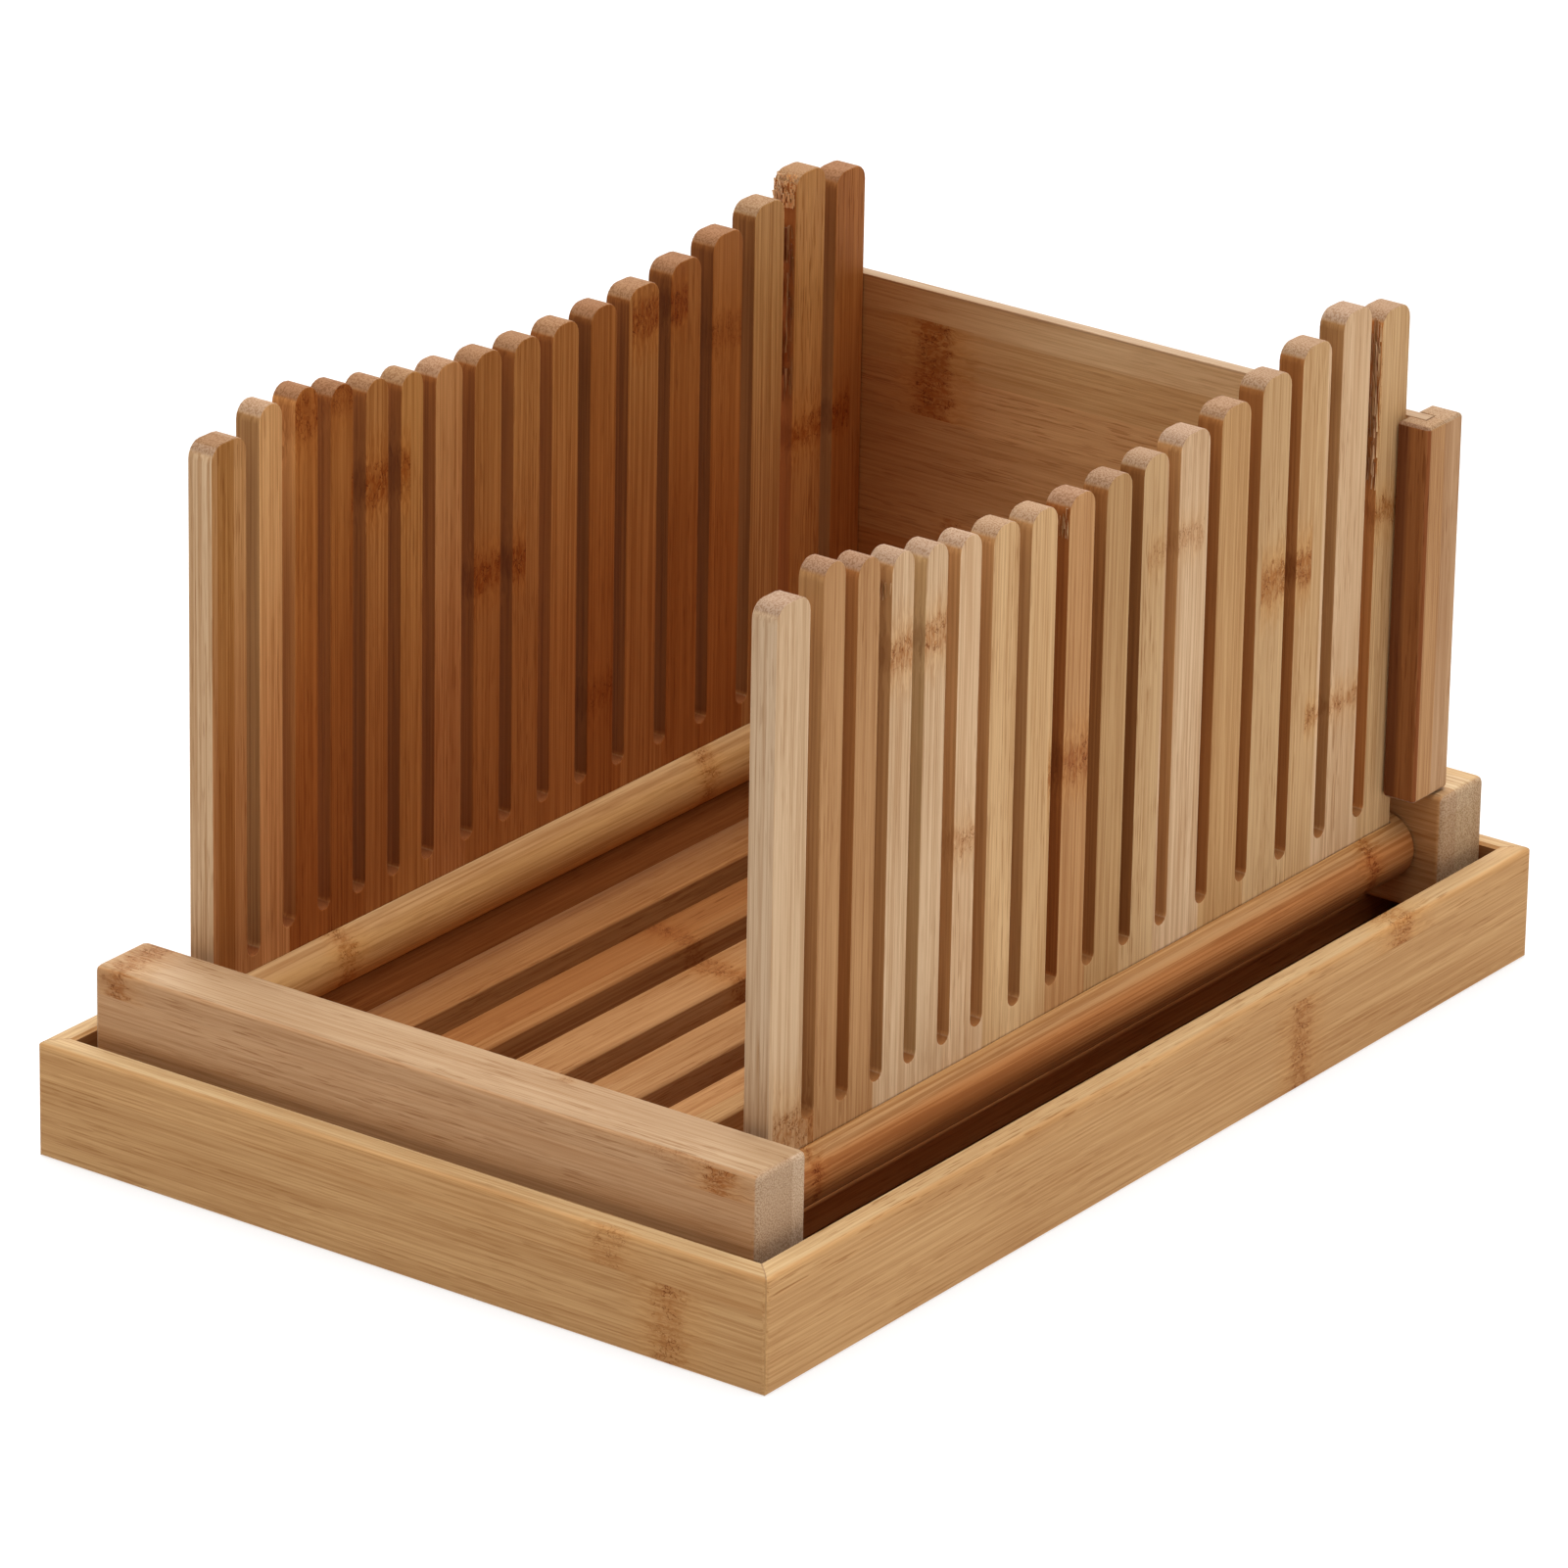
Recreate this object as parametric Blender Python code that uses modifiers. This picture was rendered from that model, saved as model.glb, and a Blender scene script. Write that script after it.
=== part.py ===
"""Bamboo bread slicing guide that folds flat and stands in a crumb tray.

Metres, +Z up. The origin is the middle of the tray's underside. +Y runs from the stop bar at
the front to the back panel, and +X points to the right. The loaf lies along Y, on the slats
between two comb walls, and the knife goes down through a pair of slots that face each other.

The comb walls stand on round rods that turn between the two bars, so they fold inward. The
back panel lifts out first, and the whole slicer frame lifts out of the tray to empty it.
"""

import math

import bmesh
import bpy

COLLECTION_NAME = "bread_slicing_guide"

# Gaps between pieces that are glued, and between pieces that slide or rest on each other
GLUE_GAP = 0.0002
FIT_GAP = 0.0003
OVERRUN = 0.002

# How finely the rounded edges are cut, and the angle that counts as an edge
SOFT_EDGE_STEPS = 3
SMALL_EDGE_STEPS = 2
CHAMFER_STEPS = 1
EDGE_ANGLE = math.radians(40)
QUARTER_TURN = math.radians(90)

# Comb walls, with the sizes along Y counted from the front tooth to the last one
LOAF_WIDTH = 0.1638
WALL_THICKNESS = 0.0076
SLOT_WIDTH = 0.00495
FIRST_TOOTH = 0.0137
THIN_SLICE = 0.0092
MEDIUM_SLICE = 0.0112
THICK_SLICE = 0.0132
LAST_TOOTH = 0.0131
TEETH_IN_GROUP = 5
SLOT_FLOOR_ABOVE_AXIS = 0.0149
LOWEST_TOP_ABOVE_AXIS = 0.1435
TOP_CURVE_RADIUS = 0.4800
END_TOOTH_DROP = 0.0092
TOOTH_ROUNDING = 0.0044
LEFT_WALL_EXTRA_HEIGHT = 0.0034
FIRST_TALLER_TOOTH = 2
FIRST_EQUAL_TOOTH = 11
LEFT_FIRST_SLOT_EXTRA_DEPTH = 0.0030
ROUNDING_STEPS = 5
SLOT_FLOOR_STEPS = 8

# Rods that the walls stand on, and the pins that they turn on
ROD_DIAMETER = 0.0184
ROD_END_GAP = 0.0005
ROD_SEAT_DEPTH = 0.0045
ROD_SIDES = 48
PIN_DIAMETER = 0.0060
PIN_DEPTH = 0.0120
PIN_RUNNING_GAP = 0.00008
PIN_CHAMFER = 0.0006
PIN_SIDES = 24

# Back panel and the grooved cleats on its ends
PANEL_THICKNESS = 0.0040
PANEL_TOP_ABOVE_BARS = 0.1044
TONGUE_SIDE_GAP = 0.0010
TONGUE_FLOOR_GAP = 0.0005
CLEAT_WIDTH = 0.0099
CLEAT_FRONT_LIP = 0.0051
CLEAT_BACK_LIP = 0.0068
CLEAT_GROOVE_DEPTH = 0.0056
CLEAT_EASING = 0.0011
CLEAT_WALL_GAP = 0.0003

# Front and rear bars and the slats under them
BAR_THICKNESS = 0.0202
BAR_HEIGHT = 0.0335
BAR_MARGIN = 0.0076
BAR_EASING = 0.0018
WALL_FRONT_GAP = 0.0017
SLAT_COUNT = 7
SLAT_WIDTH = 0.0150
SLAT_SPACING = 0.0090
SLAT_THICKNESS = 0.0086
SLAT_SETBACK = 0.0015
SLAT_EASING = 0.0006

# Crumb tray
TRAY_HEIGHT = 0.0313
TRAY_BOARD = 0.0068
TRAY_SIDE_SLACK = 0.0037
TRAY_FRONT_SLACK = 0.0033
TRAY_REAR_SLACK = 0.0017
TRAY_TOP_ROUNDING = 0.0026
TRAY_FOOT_ROUNDING = 0.0010
TRAY_INNER_CHAMFER = 0.0008
TRAY_CORNER_ROUNDING = 0.0020
FLOOR_RECESS = 0.0042
FLOOR_THICKNESS = 0.0045
FLOOR_GROOVE_DEPTH = 0.0032

# Sizes along Y that follow from the ones above
TOOTH_WIDTHS = (
    [FIRST_TOOTH]
    + [THIN_SLICE] * TEETH_IN_GROUP
    + [MEDIUM_SLICE] * TEETH_IN_GROUP
    + [THICK_SLICE] * TEETH_IN_GROUP
    + [LAST_TOOTH]
)
WALL_LENGTH = sum(TOOTH_WIDTHS) + SLOT_WIDTH * (len(TOOTH_WIDTHS) - 1)
ROOM_BETWEEN_BARS = WALL_FRONT_GAP + WALL_LENGTH + PANEL_THICKNESS + 2 * FIT_GAP
FRAME_LENGTH = ROOM_BETWEEN_BARS + 2 * BAR_THICKNESS
TRAY_INSIDE_LENGTH = FRAME_LENGTH + TRAY_FRONT_SLACK + TRAY_REAR_SLACK
TRAY_LENGTH = TRAY_INSIDE_LENGTH + 2 * TRAY_BOARD
FRAME_FRONT_Y = -TRAY_INSIDE_LENGTH / 2 + TRAY_FRONT_SLACK
FRAME_REAR_Y = FRAME_FRONT_Y + FRAME_LENGTH
FRAME_MIDDLE_Y = (FRAME_FRONT_Y + FRAME_REAR_Y) / 2
FRONT_BAR_INNER_Y = FRAME_FRONT_Y + BAR_THICKNESS
REAR_BAR_INNER_Y = FRAME_REAR_Y - BAR_THICKNESS
WALL_FRONT_Y = FRONT_BAR_INNER_Y + WALL_FRONT_GAP
WALL_REAR_Y = WALL_FRONT_Y + WALL_LENGTH
PANEL_REAR_Y = REAR_BAR_INNER_Y - FIT_GAP
PANEL_FRONT_Y = PANEL_REAR_Y - PANEL_THICKNESS

# Sizes along X that follow
AXIS_X = (LOAF_WIDTH + WALL_THICKNESS) / 2
WALL_OUTER_X = LOAF_WIDTH / 2 + WALL_THICKNESS
ROD_RADIUS = ROD_DIAMETER / 2
BAR_LENGTH = 2 * (AXIS_X + ROD_RADIUS + BAR_MARGIN)
TRAY_INSIDE_WIDTH = BAR_LENGTH + 2 * TRAY_SIDE_SLACK
TRAY_WIDTH = TRAY_INSIDE_WIDTH + 2 * TRAY_BOARD
CLEAT_INNER_X = WALL_OUTER_X + CLEAT_WALL_GAP
GROOVE_END_X = CLEAT_INNER_X + CLEAT_GROOVE_DEPTH
SLAT_PITCH = SLAT_WIDTH + SLAT_SPACING

# Heights that follow
FLOOR_TOP_Z = FLOOR_RECESS + FLOOR_THICKNESS
SLAT_BOTTOM_Z = FLOOR_TOP_Z + FIT_GAP
SLAT_TOP_Z = SLAT_BOTTOM_Z + SLAT_THICKNESS
BAR_BOTTOM_Z = SLAT_TOP_Z + GLUE_GAP
BAR_TOP_Z = BAR_BOTTOM_Z + BAR_HEIGHT
AXIS_Z = BAR_BOTTOM_Z + BAR_HEIGHT / 2
SEAT_FLOOR_ABOVE_AXIS = ROD_RADIUS - ROD_SEAT_DEPTH
WALL_BOTTOM_ABOVE_AXIS = SEAT_FLOOR_ABOVE_AXIS + GLUE_GAP
CLEAT_BOTTOM_Z = BAR_TOP_Z + FIT_GAP
PANEL_TOP_Z = BAR_TOP_Z + PANEL_TOP_ABOVE_BARS
TONGUE_BOTTOM_Z = SLAT_TOP_Z + TONGUE_FLOOR_GAP
TONGUE_HALF_WIDTH = AXIS_X - ROD_RADIUS - TONGUE_SIDE_GAP

# Colours of the bamboo pieces, linear values
TRAY_COLOUR = (0.56, 0.34, 0.15, 1.0)
FLOOR_COLOUR = (0.50, 0.30, 0.13, 1.0)
BAR_COLOUR = (0.54, 0.34, 0.18, 1.0)
SLAT_COLOUR = (0.56, 0.33, 0.15, 1.0)
WALL_COLOUR = (0.60, 0.40, 0.20, 1.0)
ROD_COLOUR = (0.50, 0.28, 0.12, 1.0)
PIN_COLOUR = (0.62, 0.46, 0.27, 1.0)
PANEL_COLOUR = (0.47, 0.28, 0.12, 1.0)
CLEAT_COLOUR = (0.50, 0.27, 0.13, 1.0)
BAMBOO_ROUGHNESS = 0.55


def clear_scene():
    """Start from an empty scene."""
    for item in list(bpy.data.objects):
        bpy.data.objects.remove(item, do_unlink=True)
    for group in list(bpy.data.collections):
        bpy.data.collections.remove(group)


def new_collection(name):
    """Make a collection in the scene."""
    group = bpy.data.collections.new(name)
    bpy.context.scene.collection.children.link(group)
    return group


clear_scene()
PARTS = new_collection(COLLECTION_NAME)
CUTTERS = new_collection("cutters")


def bamboo(name, colour):
    """A satin bamboo finish in one colour."""
    material = bpy.data.materials.new(name)
    material.use_nodes = True
    shader = material.node_tree.nodes["Principled BSDF"]
    shader.inputs["Base Color"].default_value = colour
    shader.inputs["Roughness"].default_value = BAMBOO_ROUGHNESS
    shader.inputs["Metallic"].default_value = 0.0
    return material


def object_from_bmesh(name, mesh_data, group):
    """Turn mesh data into an object in a collection."""
    mesh = bpy.data.meshes.new(name)
    mesh_data.to_mesh(mesh)
    mesh_data.free()
    item = bpy.data.objects.new(name, mesh)
    group.objects.link(item)
    return item


def box(name, low, high, group=PARTS):
    """A box between two corners, with its origin in its middle."""
    size = [top - bottom for bottom, top in zip(low, high)]
    mesh_data = bmesh.new()
    bmesh.ops.create_cube(mesh_data, size=1)
    bmesh.ops.scale(mesh_data, vec=size, verts=mesh_data.verts)
    item = object_from_bmesh(name, mesh_data, group)
    item.location = [(bottom + top) / 2 for bottom, top in zip(low, high)]
    return item


def round_bar(name, radius, low, high, x, z, sides, group=PARTS):
    """A cylinder along Y from low to high, with its origin in its middle."""
    mesh_data = bmesh.new()
    bmesh.ops.create_cone(
        mesh_data,
        cap_ends=True,
        segments=sides,
        radius1=radius,
        radius2=radius,
        depth=high - low,
    )
    item = object_from_bmesh(name, mesh_data, group)
    item.location = (x, (low + high) / 2, z)
    item.rotation_euler = (QUARTER_TURN, 0, 0)
    return item


def arc(centre, radius, start, end, steps):
    """Points on an arc from one angle to another, in degrees, both ends included."""
    points = []
    for step in range(steps + 1):
        angle = math.radians(start + (end - start) * step / steps)
        points.append((centre[0] + radius * math.cos(angle), centre[1] + radius * math.sin(angle)))
    return points


def extruded(name, outline, thickness, group=PARTS):
    """A flat outline in the local XY plane, thickened evenly to both sides."""
    curve = bpy.data.curves.new(name, "CURVE")
    curve.dimensions = "2D"
    curve.fill_mode = "BOTH"
    curve.extrude = thickness / 2
    spline = curve.splines.new("POLY")
    spline.points.add(len(outline) - 1)
    for point, (across, up) in zip(spline.points, outline):
        point.co = (across, up, 0, 1)
    spline.use_cyclic_u = True
    source = bpy.data.objects.new(name + "_outline", curve)
    group.objects.link(source)
    bpy.context.view_layer.update()
    evaluated = source.evaluated_get(bpy.context.evaluated_depsgraph_get())
    mesh = bpy.data.meshes.new_from_object(evaluated)
    mesh_data = bmesh.new()
    mesh_data.from_mesh(mesh)
    bmesh.ops.remove_doubles(mesh_data, verts=mesh_data.verts, dist=GLUE_GAP / 100)
    item = object_from_bmesh(name, mesh_data, group)
    item.matrix_world = source.matrix_world
    bpy.data.objects.remove(source, do_unlink=True)
    bpy.data.meshes.remove(mesh)
    return item


def cut(item, cutter, operation="DIFFERENCE"):
    """Cut a piece with another, which is then kept as a wire guide."""
    modifier = item.modifiers.new("cut_" + cutter.name, "BOOLEAN")
    modifier.operation = operation
    modifier.solver = "EXACT"
    modifier.object = cutter
    cutter.hide_render = True
    cutter.display_type = "WIRE"


def ease_edges(item, width, segments):
    """Round over a piece's edges."""
    modifier = item.modifiers.new("eased_edges", "BEVEL")
    modifier.width = width
    modifier.segments = segments
    modifier.limit_method = "ANGLE"
    modifier.angle_limit = EDGE_ANGLE


def smooth_rounds(item):
    """Shade the round faces smooth and keep the real edges sharp."""
    item.data.shade_smooth()
    item.data.set_sharp_from_angle(angle=EDGE_ANGLE)


def dress(item, name, colour):
    """Give a piece its own material."""
    item.data.materials.clear()
    item.data.materials.append(bamboo(name, colour))


def pivot(name, location, parent=None):
    """An empty on a joint's axis, which carries the pieces that move on it."""
    empty = bpy.data.objects.new(name, None)
    PARTS.objects.link(empty)
    empty.location = location
    bpy.context.view_layer.update()
    if parent is not None:
        attach(empty, parent)
    return empty


def attach(item, parent):
    """Parent a piece without moving it."""
    bpy.context.view_layer.update()
    place = item.matrix_world.copy()
    item.parent = parent
    item.matrix_parent_inverse = parent.matrix_world.inverted()
    item.matrix_world = place


def tray_board_outline():
    """The board's section: X is the depth in from the outer face, Y is the height."""
    top = TRAY_HEIGHT
    outline = [
        (TRAY_BOARD, FLOOR_RECESS - GLUE_GAP),
        (TRAY_BOARD - FLOOR_GROOVE_DEPTH - GLUE_GAP, FLOOR_RECESS - GLUE_GAP),
        (TRAY_BOARD - FLOOR_GROOVE_DEPTH - GLUE_GAP, FLOOR_TOP_Z + GLUE_GAP),
        (TRAY_BOARD, FLOOR_TOP_Z + GLUE_GAP),
        (TRAY_BOARD, top - TRAY_INNER_CHAMFER),
        (TRAY_BOARD - TRAY_INNER_CHAMFER, top),
    ]
    shoulder = (TRAY_TOP_ROUNDING, top - TRAY_TOP_ROUNDING)
    outline += arc(shoulder, TRAY_TOP_ROUNDING, 90, 180, ROUNDING_STEPS)
    foot = (TRAY_FOOT_ROUNDING, TRAY_FOOT_ROUNDING)
    outline += arc(foot, TRAY_FOOT_ROUNDING, 180, 270, ROUNDING_STEPS)
    outline.append((TRAY_BOARD, 0))
    return outline


def tray_board(name, length, turn, distance, envelope):
    """One mitred tray board, its outer face at a distance from the middle of the tray."""
    board = extruded(name, tray_board_outline(), length)
    for vertex in board.data.vertices:
        inset = vertex.co.x + GLUE_GAP
        vertex.co.z -= math.copysign(inset, vertex.co.z)
    board.rotation_euler = (QUARTER_TURN, 0, turn)
    board.location = (-distance * math.cos(turn), -distance * math.sin(turn), 0)
    cut(board, envelope, "INTERSECT")
    smooth_rounds(board)
    dress(board, name + "_bamboo", TRAY_COLOUR)
    return board


def rounded_rectangle(width, length, radius):
    """Corner points of a rectangle with round corners."""
    points = []
    corners = ((1, 1), (-1, 1), (-1, -1), (1, -1))
    for turn, (side_x, side_y) in enumerate(corners):
        centre = (side_x * (width / 2 - radius), side_y * (length / 2 - radius))
        points += arc(centre, radius, 90 * turn, 90 * turn + 90, ROUNDING_STEPS)
    return points


def make_tray():
    """Four mitred boards round a floor that sits in their grooves."""
    outline = rounded_rectangle(TRAY_WIDTH, TRAY_LENGTH, TRAY_CORNER_ROUNDING)
    envelope = extruded("tray_envelope", outline, 2 * (TRAY_HEIGHT + OVERRUN), CUTTERS)
    half_width = TRAY_WIDTH / 2
    half_length = TRAY_LENGTH / 2
    tray_board("tray_left_board", TRAY_LENGTH, 0, half_width, envelope)
    tray_board("tray_front_board", TRAY_WIDTH, QUARTER_TURN, half_length, envelope)
    tray_board("tray_right_board", TRAY_LENGTH, 2 * QUARTER_TURN, half_width, envelope)
    tray_board("tray_rear_board", TRAY_WIDTH, 3 * QUARTER_TURN, half_length, envelope)
    reach_x = TRAY_INSIDE_WIDTH / 2 + FLOOR_GROOVE_DEPTH
    reach_y = TRAY_INSIDE_LENGTH / 2 + FLOOR_GROOVE_DEPTH
    low = (-reach_x, -reach_y, FLOOR_RECESS)
    high = (reach_x, reach_y, FLOOR_TOP_Z)
    floor = box("tray_floor", low, high)
    dress(floor, "tray_floor_bamboo", FLOOR_COLOUR)


def make_pin_holes(name, low, high, gap):
    """A pair of cutters for the pins of the left and right rods."""
    holes = []
    for side, x in (("left", -AXIS_X), ("right", AXIS_X)):
        radius = PIN_DIAMETER / 2 + gap
        hole = round_bar(f"{name}_{side}", radius, low, high, x, AXIS_Z, PIN_SIDES, CUTTERS)
        holes.append(hole)
    return holes


def make_bar(name, low_y, hole_low, hole_high, frame):
    """One of the two bars, with blind holes for the pivot pins."""
    low = (-BAR_LENGTH / 2, low_y, BAR_BOTTOM_Z)
    high = (BAR_LENGTH / 2, low_y + BAR_THICKNESS, BAR_TOP_Z)
    bar = box(name, low, high)
    ease_edges(bar, BAR_EASING, SOFT_EDGE_STEPS)
    for hole in make_pin_holes(name + "_hole", hole_low, hole_high, PIN_RUNNING_GAP):
        cut(bar, hole)
    smooth_rounds(bar)
    dress(bar, name + "_bamboo", BAR_COLOUR)
    attach(bar, frame)


def make_slats(frame):
    """Lengthwise slats glued under both bars."""
    first_x = -SLAT_PITCH * (SLAT_COUNT - 1) / 2
    for number in range(SLAT_COUNT):
        x = first_x + SLAT_PITCH * number
        low = (x - SLAT_WIDTH / 2, FRAME_FRONT_Y + SLAT_SETBACK, SLAT_BOTTOM_Z)
        high = (x + SLAT_WIDTH / 2, FRAME_REAR_Y - SLAT_SETBACK, SLAT_TOP_Z)
        slat = box(f"slat_{number + 1}", low, high)
        ease_edges(slat, SLAT_EASING, CHAMFER_STEPS)
        dress(slat, f"slat_{number + 1}_bamboo", SLAT_COLOUR)
        attach(slat, frame)


def make_frame():
    """Two bars and the slats, which lift out of the tray together."""
    frame = pivot("frame_lift", (0, FRAME_MIDDLE_Y, SLAT_BOTTOM_Z))
    depth = PIN_DEPTH + FIT_GAP
    front_inner = FRONT_BAR_INNER_Y
    rear_inner = REAR_BAR_INNER_Y
    make_bar("front_bar", FRAME_FRONT_Y, front_inner - depth, front_inner + OVERRUN, frame)
    make_bar("rear_bar", rear_inner, rear_inner - OVERRUN, rear_inner + depth, frame)
    make_slats(frame)
    return frame


def tooth_spans():
    """Where each tooth starts and ends, from the wall's front edge."""
    spans = []
    start = 0.0
    for width in TOOTH_WIDTHS:
        spans.append((start, start + width))
        start += width + SLOT_WIDTH
    return spans


def top_above_axis(along):
    """Height of the hollow curve that the tooth tops follow."""
    offset = along - WALL_LENGTH / 2
    rise = TOP_CURVE_RADIUS - math.sqrt(TOP_CURVE_RADIUS ** 2 - offset ** 2)
    return LOWEST_TOP_ABOVE_AXIS + rise


def extra_height(side, number):
    """How much a left tooth stands above the right one, from the third tooth and fading."""
    if side == "right" or number < FIRST_TALLER_TOOTH:
        return 0.0
    fade = (FIRST_EQUAL_TOOTH - number) / (FIRST_EQUAL_TOOTH - FIRST_TALLER_TOOTH)
    return LEFT_WALL_EXTRA_HEIGHT * max(fade, 0.0)


def tooth_top(side, number, start, end):
    """Height of a tooth's top above the rod's axis."""
    top = top_above_axis((start + end) / 2)
    if number in (0, len(TOOTH_WIDTHS) - 1):
        return top - END_TOOTH_DROP
    return top + extra_height(side, number)


def slot_floor_middle(side, number):
    """Height of the centre of a slot's round floor above the rod's axis."""
    middle = SLOT_FLOOR_ABOVE_AXIS + SLOT_WIDTH / 2
    if side == "left" and number == 0:
        return middle - LEFT_FIRST_SLOT_EXTRA_DEPTH
    return middle


def comb_outline(side):
    """Side view of a comb wall: X along the wall from its front, Y above the rod's axis."""
    spans = tooth_spans()
    outline = [(WALL_LENGTH, WALL_BOTTOM_ABOVE_AXIS), (0.0, WALL_BOTTOM_ABOVE_AXIS)]
    for number, (start, end) in enumerate(spans):
        top = tooth_top(side, number, start, end)
        radius = min(TOOTH_ROUNDING, (end - start) / 2 - GLUE_GAP / 2)
        shoulder = top - radius
        outline += arc((start + radius, shoulder), radius, 180, 90, ROUNDING_STEPS)
        outline += arc((end - radius, shoulder), radius, 90, 0, ROUNDING_STEPS)
        if number < len(spans) - 1:
            slot_middle = (end + SLOT_WIDTH / 2, slot_floor_middle(side, number))
            outline += arc(slot_middle, SLOT_WIDTH / 2, 180, 360, SLOT_FLOOR_STEPS)
    return outline


def make_rod(side, x, hinge):
    """A round rod with a seat for the wall and a blind hole in each end for a pin."""
    name = f"{side}_rod"
    low = FRONT_BAR_INNER_Y + ROD_END_GAP
    high = REAR_BAR_INNER_Y - ROD_END_GAP
    rod = round_bar(name, ROD_RADIUS, low, high, x, AXIS_Z, ROD_SIDES)
    reach = WALL_THICKNESS / 2 + GLUE_GAP
    seat_low = (x - reach, WALL_FRONT_Y - GLUE_GAP, AXIS_Z + SEAT_FLOOR_ABOVE_AXIS)
    seat_high = (x + reach, WALL_REAR_Y + GLUE_GAP, AXIS_Z + ROD_RADIUS + OVERRUN)
    cut(rod, box(name + "_seat", seat_low, seat_high, CUTTERS))
    radius = PIN_DIAMETER / 2 + GLUE_GAP
    depth = PIN_DEPTH + GLUE_GAP
    ends = (("front", low - OVERRUN, low + depth), ("rear", high - depth, high + OVERRUN))
    for end, hole_low, hole_high in ends:
        hole_name = f"{name}_{end}_hole"
        hole = round_bar(hole_name, radius, hole_low, hole_high, x, AXIS_Z, PIN_SIDES, CUTTERS)
        cut(rod, hole)
    smooth_rounds(rod)
    dress(rod, name + "_bamboo", ROD_COLOUR)
    attach(rod, hinge)


def make_pins(side, x, hinge):
    """The front and rear pins, glued in the rod and turning in the bars."""
    reach = PIN_DEPTH - GLUE_GAP
    front_rod_end = FRONT_BAR_INNER_Y + ROD_END_GAP
    rear_rod_end = REAR_BAR_INNER_Y - ROD_END_GAP
    places = (
        ("front", FRONT_BAR_INNER_Y - reach, front_rod_end + reach),
        ("rear", rear_rod_end - reach, REAR_BAR_INNER_Y + reach),
    )
    for end, low, high in places:
        name = f"{side}_{end}_pivot_pin"
        pin = round_bar(name, PIN_DIAMETER / 2, low, high, x, AXIS_Z, PIN_SIDES)
        ease_edges(pin, PIN_CHAMFER, CHAMFER_STEPS)
        smooth_rounds(pin)
        dress(pin, name + "_wood", PIN_COLOUR)
        attach(pin, hinge)


def make_wall(side, x, hinge):
    """A comb wall, standing in the seat of its rod."""
    name = f"{side}_comb_wall"
    wall = extruded(name, comb_outline(side), WALL_THICKNESS)
    wall.rotation_euler = (QUARTER_TURN, 0, QUARTER_TURN)
    wall.location = (x, WALL_FRONT_Y, AXIS_Z)
    smooth_rounds(wall)
    dress(wall, name + "_bamboo", WALL_COLOUR)
    attach(wall, hinge)


def make_hinged_wall(side, x, frame):
    """A comb wall with its rod and pins, which turn together on the rod's axis."""
    hinge = pivot(f"{side}_wall_hinge", (x, FRAME_MIDDLE_Y, AXIS_Z), frame)
    make_rod(side, x, hinge)
    make_pins(side, x, hinge)
    make_wall(side, x, hinge)


def panel_outline():
    """Front view of the back panel, a wide board with a tongue that drops between the rods."""
    half = GROOVE_END_X - GLUE_GAP
    return [
        (-TONGUE_HALF_WIDTH, TONGUE_BOTTOM_Z),
        (TONGUE_HALF_WIDTH, TONGUE_BOTTOM_Z),
        (TONGUE_HALF_WIDTH, CLEAT_BOTTOM_Z),
        (half, CLEAT_BOTTOM_Z),
        (half, PANEL_TOP_Z),
        (-half, PANEL_TOP_Z),
        (-half, CLEAT_BOTTOM_Z),
        (-TONGUE_HALF_WIDTH, CLEAT_BOTTOM_Z),
    ]


def make_cleat(side, sign, lift):
    """An upright cleat with a groove for the panel's end and a lip outside the wall."""
    name = f"{side}_cleat"
    front = PANEL_FRONT_Y - GLUE_GAP - CLEAT_FRONT_LIP
    rear = PANEL_REAR_Y + GLUE_GAP + CLEAT_BACK_LIP
    near_x = sign * CLEAT_INNER_X
    far_x = sign * (CLEAT_INNER_X + CLEAT_WIDTH)
    low = (min(near_x, far_x), front, CLEAT_BOTTOM_Z)
    high = (max(near_x, far_x), rear, PANEL_TOP_Z)
    cleat = box(name, low, high)
    ease_edges(cleat, CLEAT_EASING, SMALL_EDGE_STEPS)
    open_x = sign * (CLEAT_INNER_X - OVERRUN)
    end_x = sign * GROOVE_END_X
    groove_low = (min(open_x, end_x), PANEL_FRONT_Y - GLUE_GAP, CLEAT_BOTTOM_Z - OVERRUN)
    groove_high = (max(open_x, end_x), PANEL_REAR_Y + GLUE_GAP, PANEL_TOP_Z + OVERRUN)
    cut(cleat, box(name + "_groove", groove_low, groove_high, CUTTERS))
    smooth_rounds(cleat)
    dress(cleat, name + "_bamboo", CLEAT_COLOUR)
    attach(cleat, lift)


def make_back_panel(frame):
    """The panel and its two cleats, which lift out upward together."""
    middle_y = (PANEL_FRONT_Y + PANEL_REAR_Y) / 2
    lift = pivot("panel_lift", (0, middle_y, CLEAT_BOTTOM_Z), frame)
    panel = extruded("back_panel", panel_outline(), PANEL_THICKNESS)
    panel.rotation_euler = (QUARTER_TURN, 0, 0)
    panel.location = (0, middle_y, 0)
    dress(panel, "back_panel_bamboo", PANEL_COLOUR)
    attach(panel, lift)
    make_cleat("left", -1, lift)
    make_cleat("right", 1, lift)


def main():
    """Build the whole slicing guide."""
    make_tray()
    frame = make_frame()
    make_hinged_wall("left", -AXIS_X, frame)
    make_hinged_wall("right", AXIS_X, frame)
    make_back_panel(frame)
    bpy.context.view_layer.update()


main()
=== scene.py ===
"""Bread slicing guide: bamboo finishes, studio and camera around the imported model."""
import math
import random

import bmesh
import bpy
from bpy.props import FloatProperty, FloatVectorProperty, PointerProperty
from mathutils import Matrix, Vector


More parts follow.
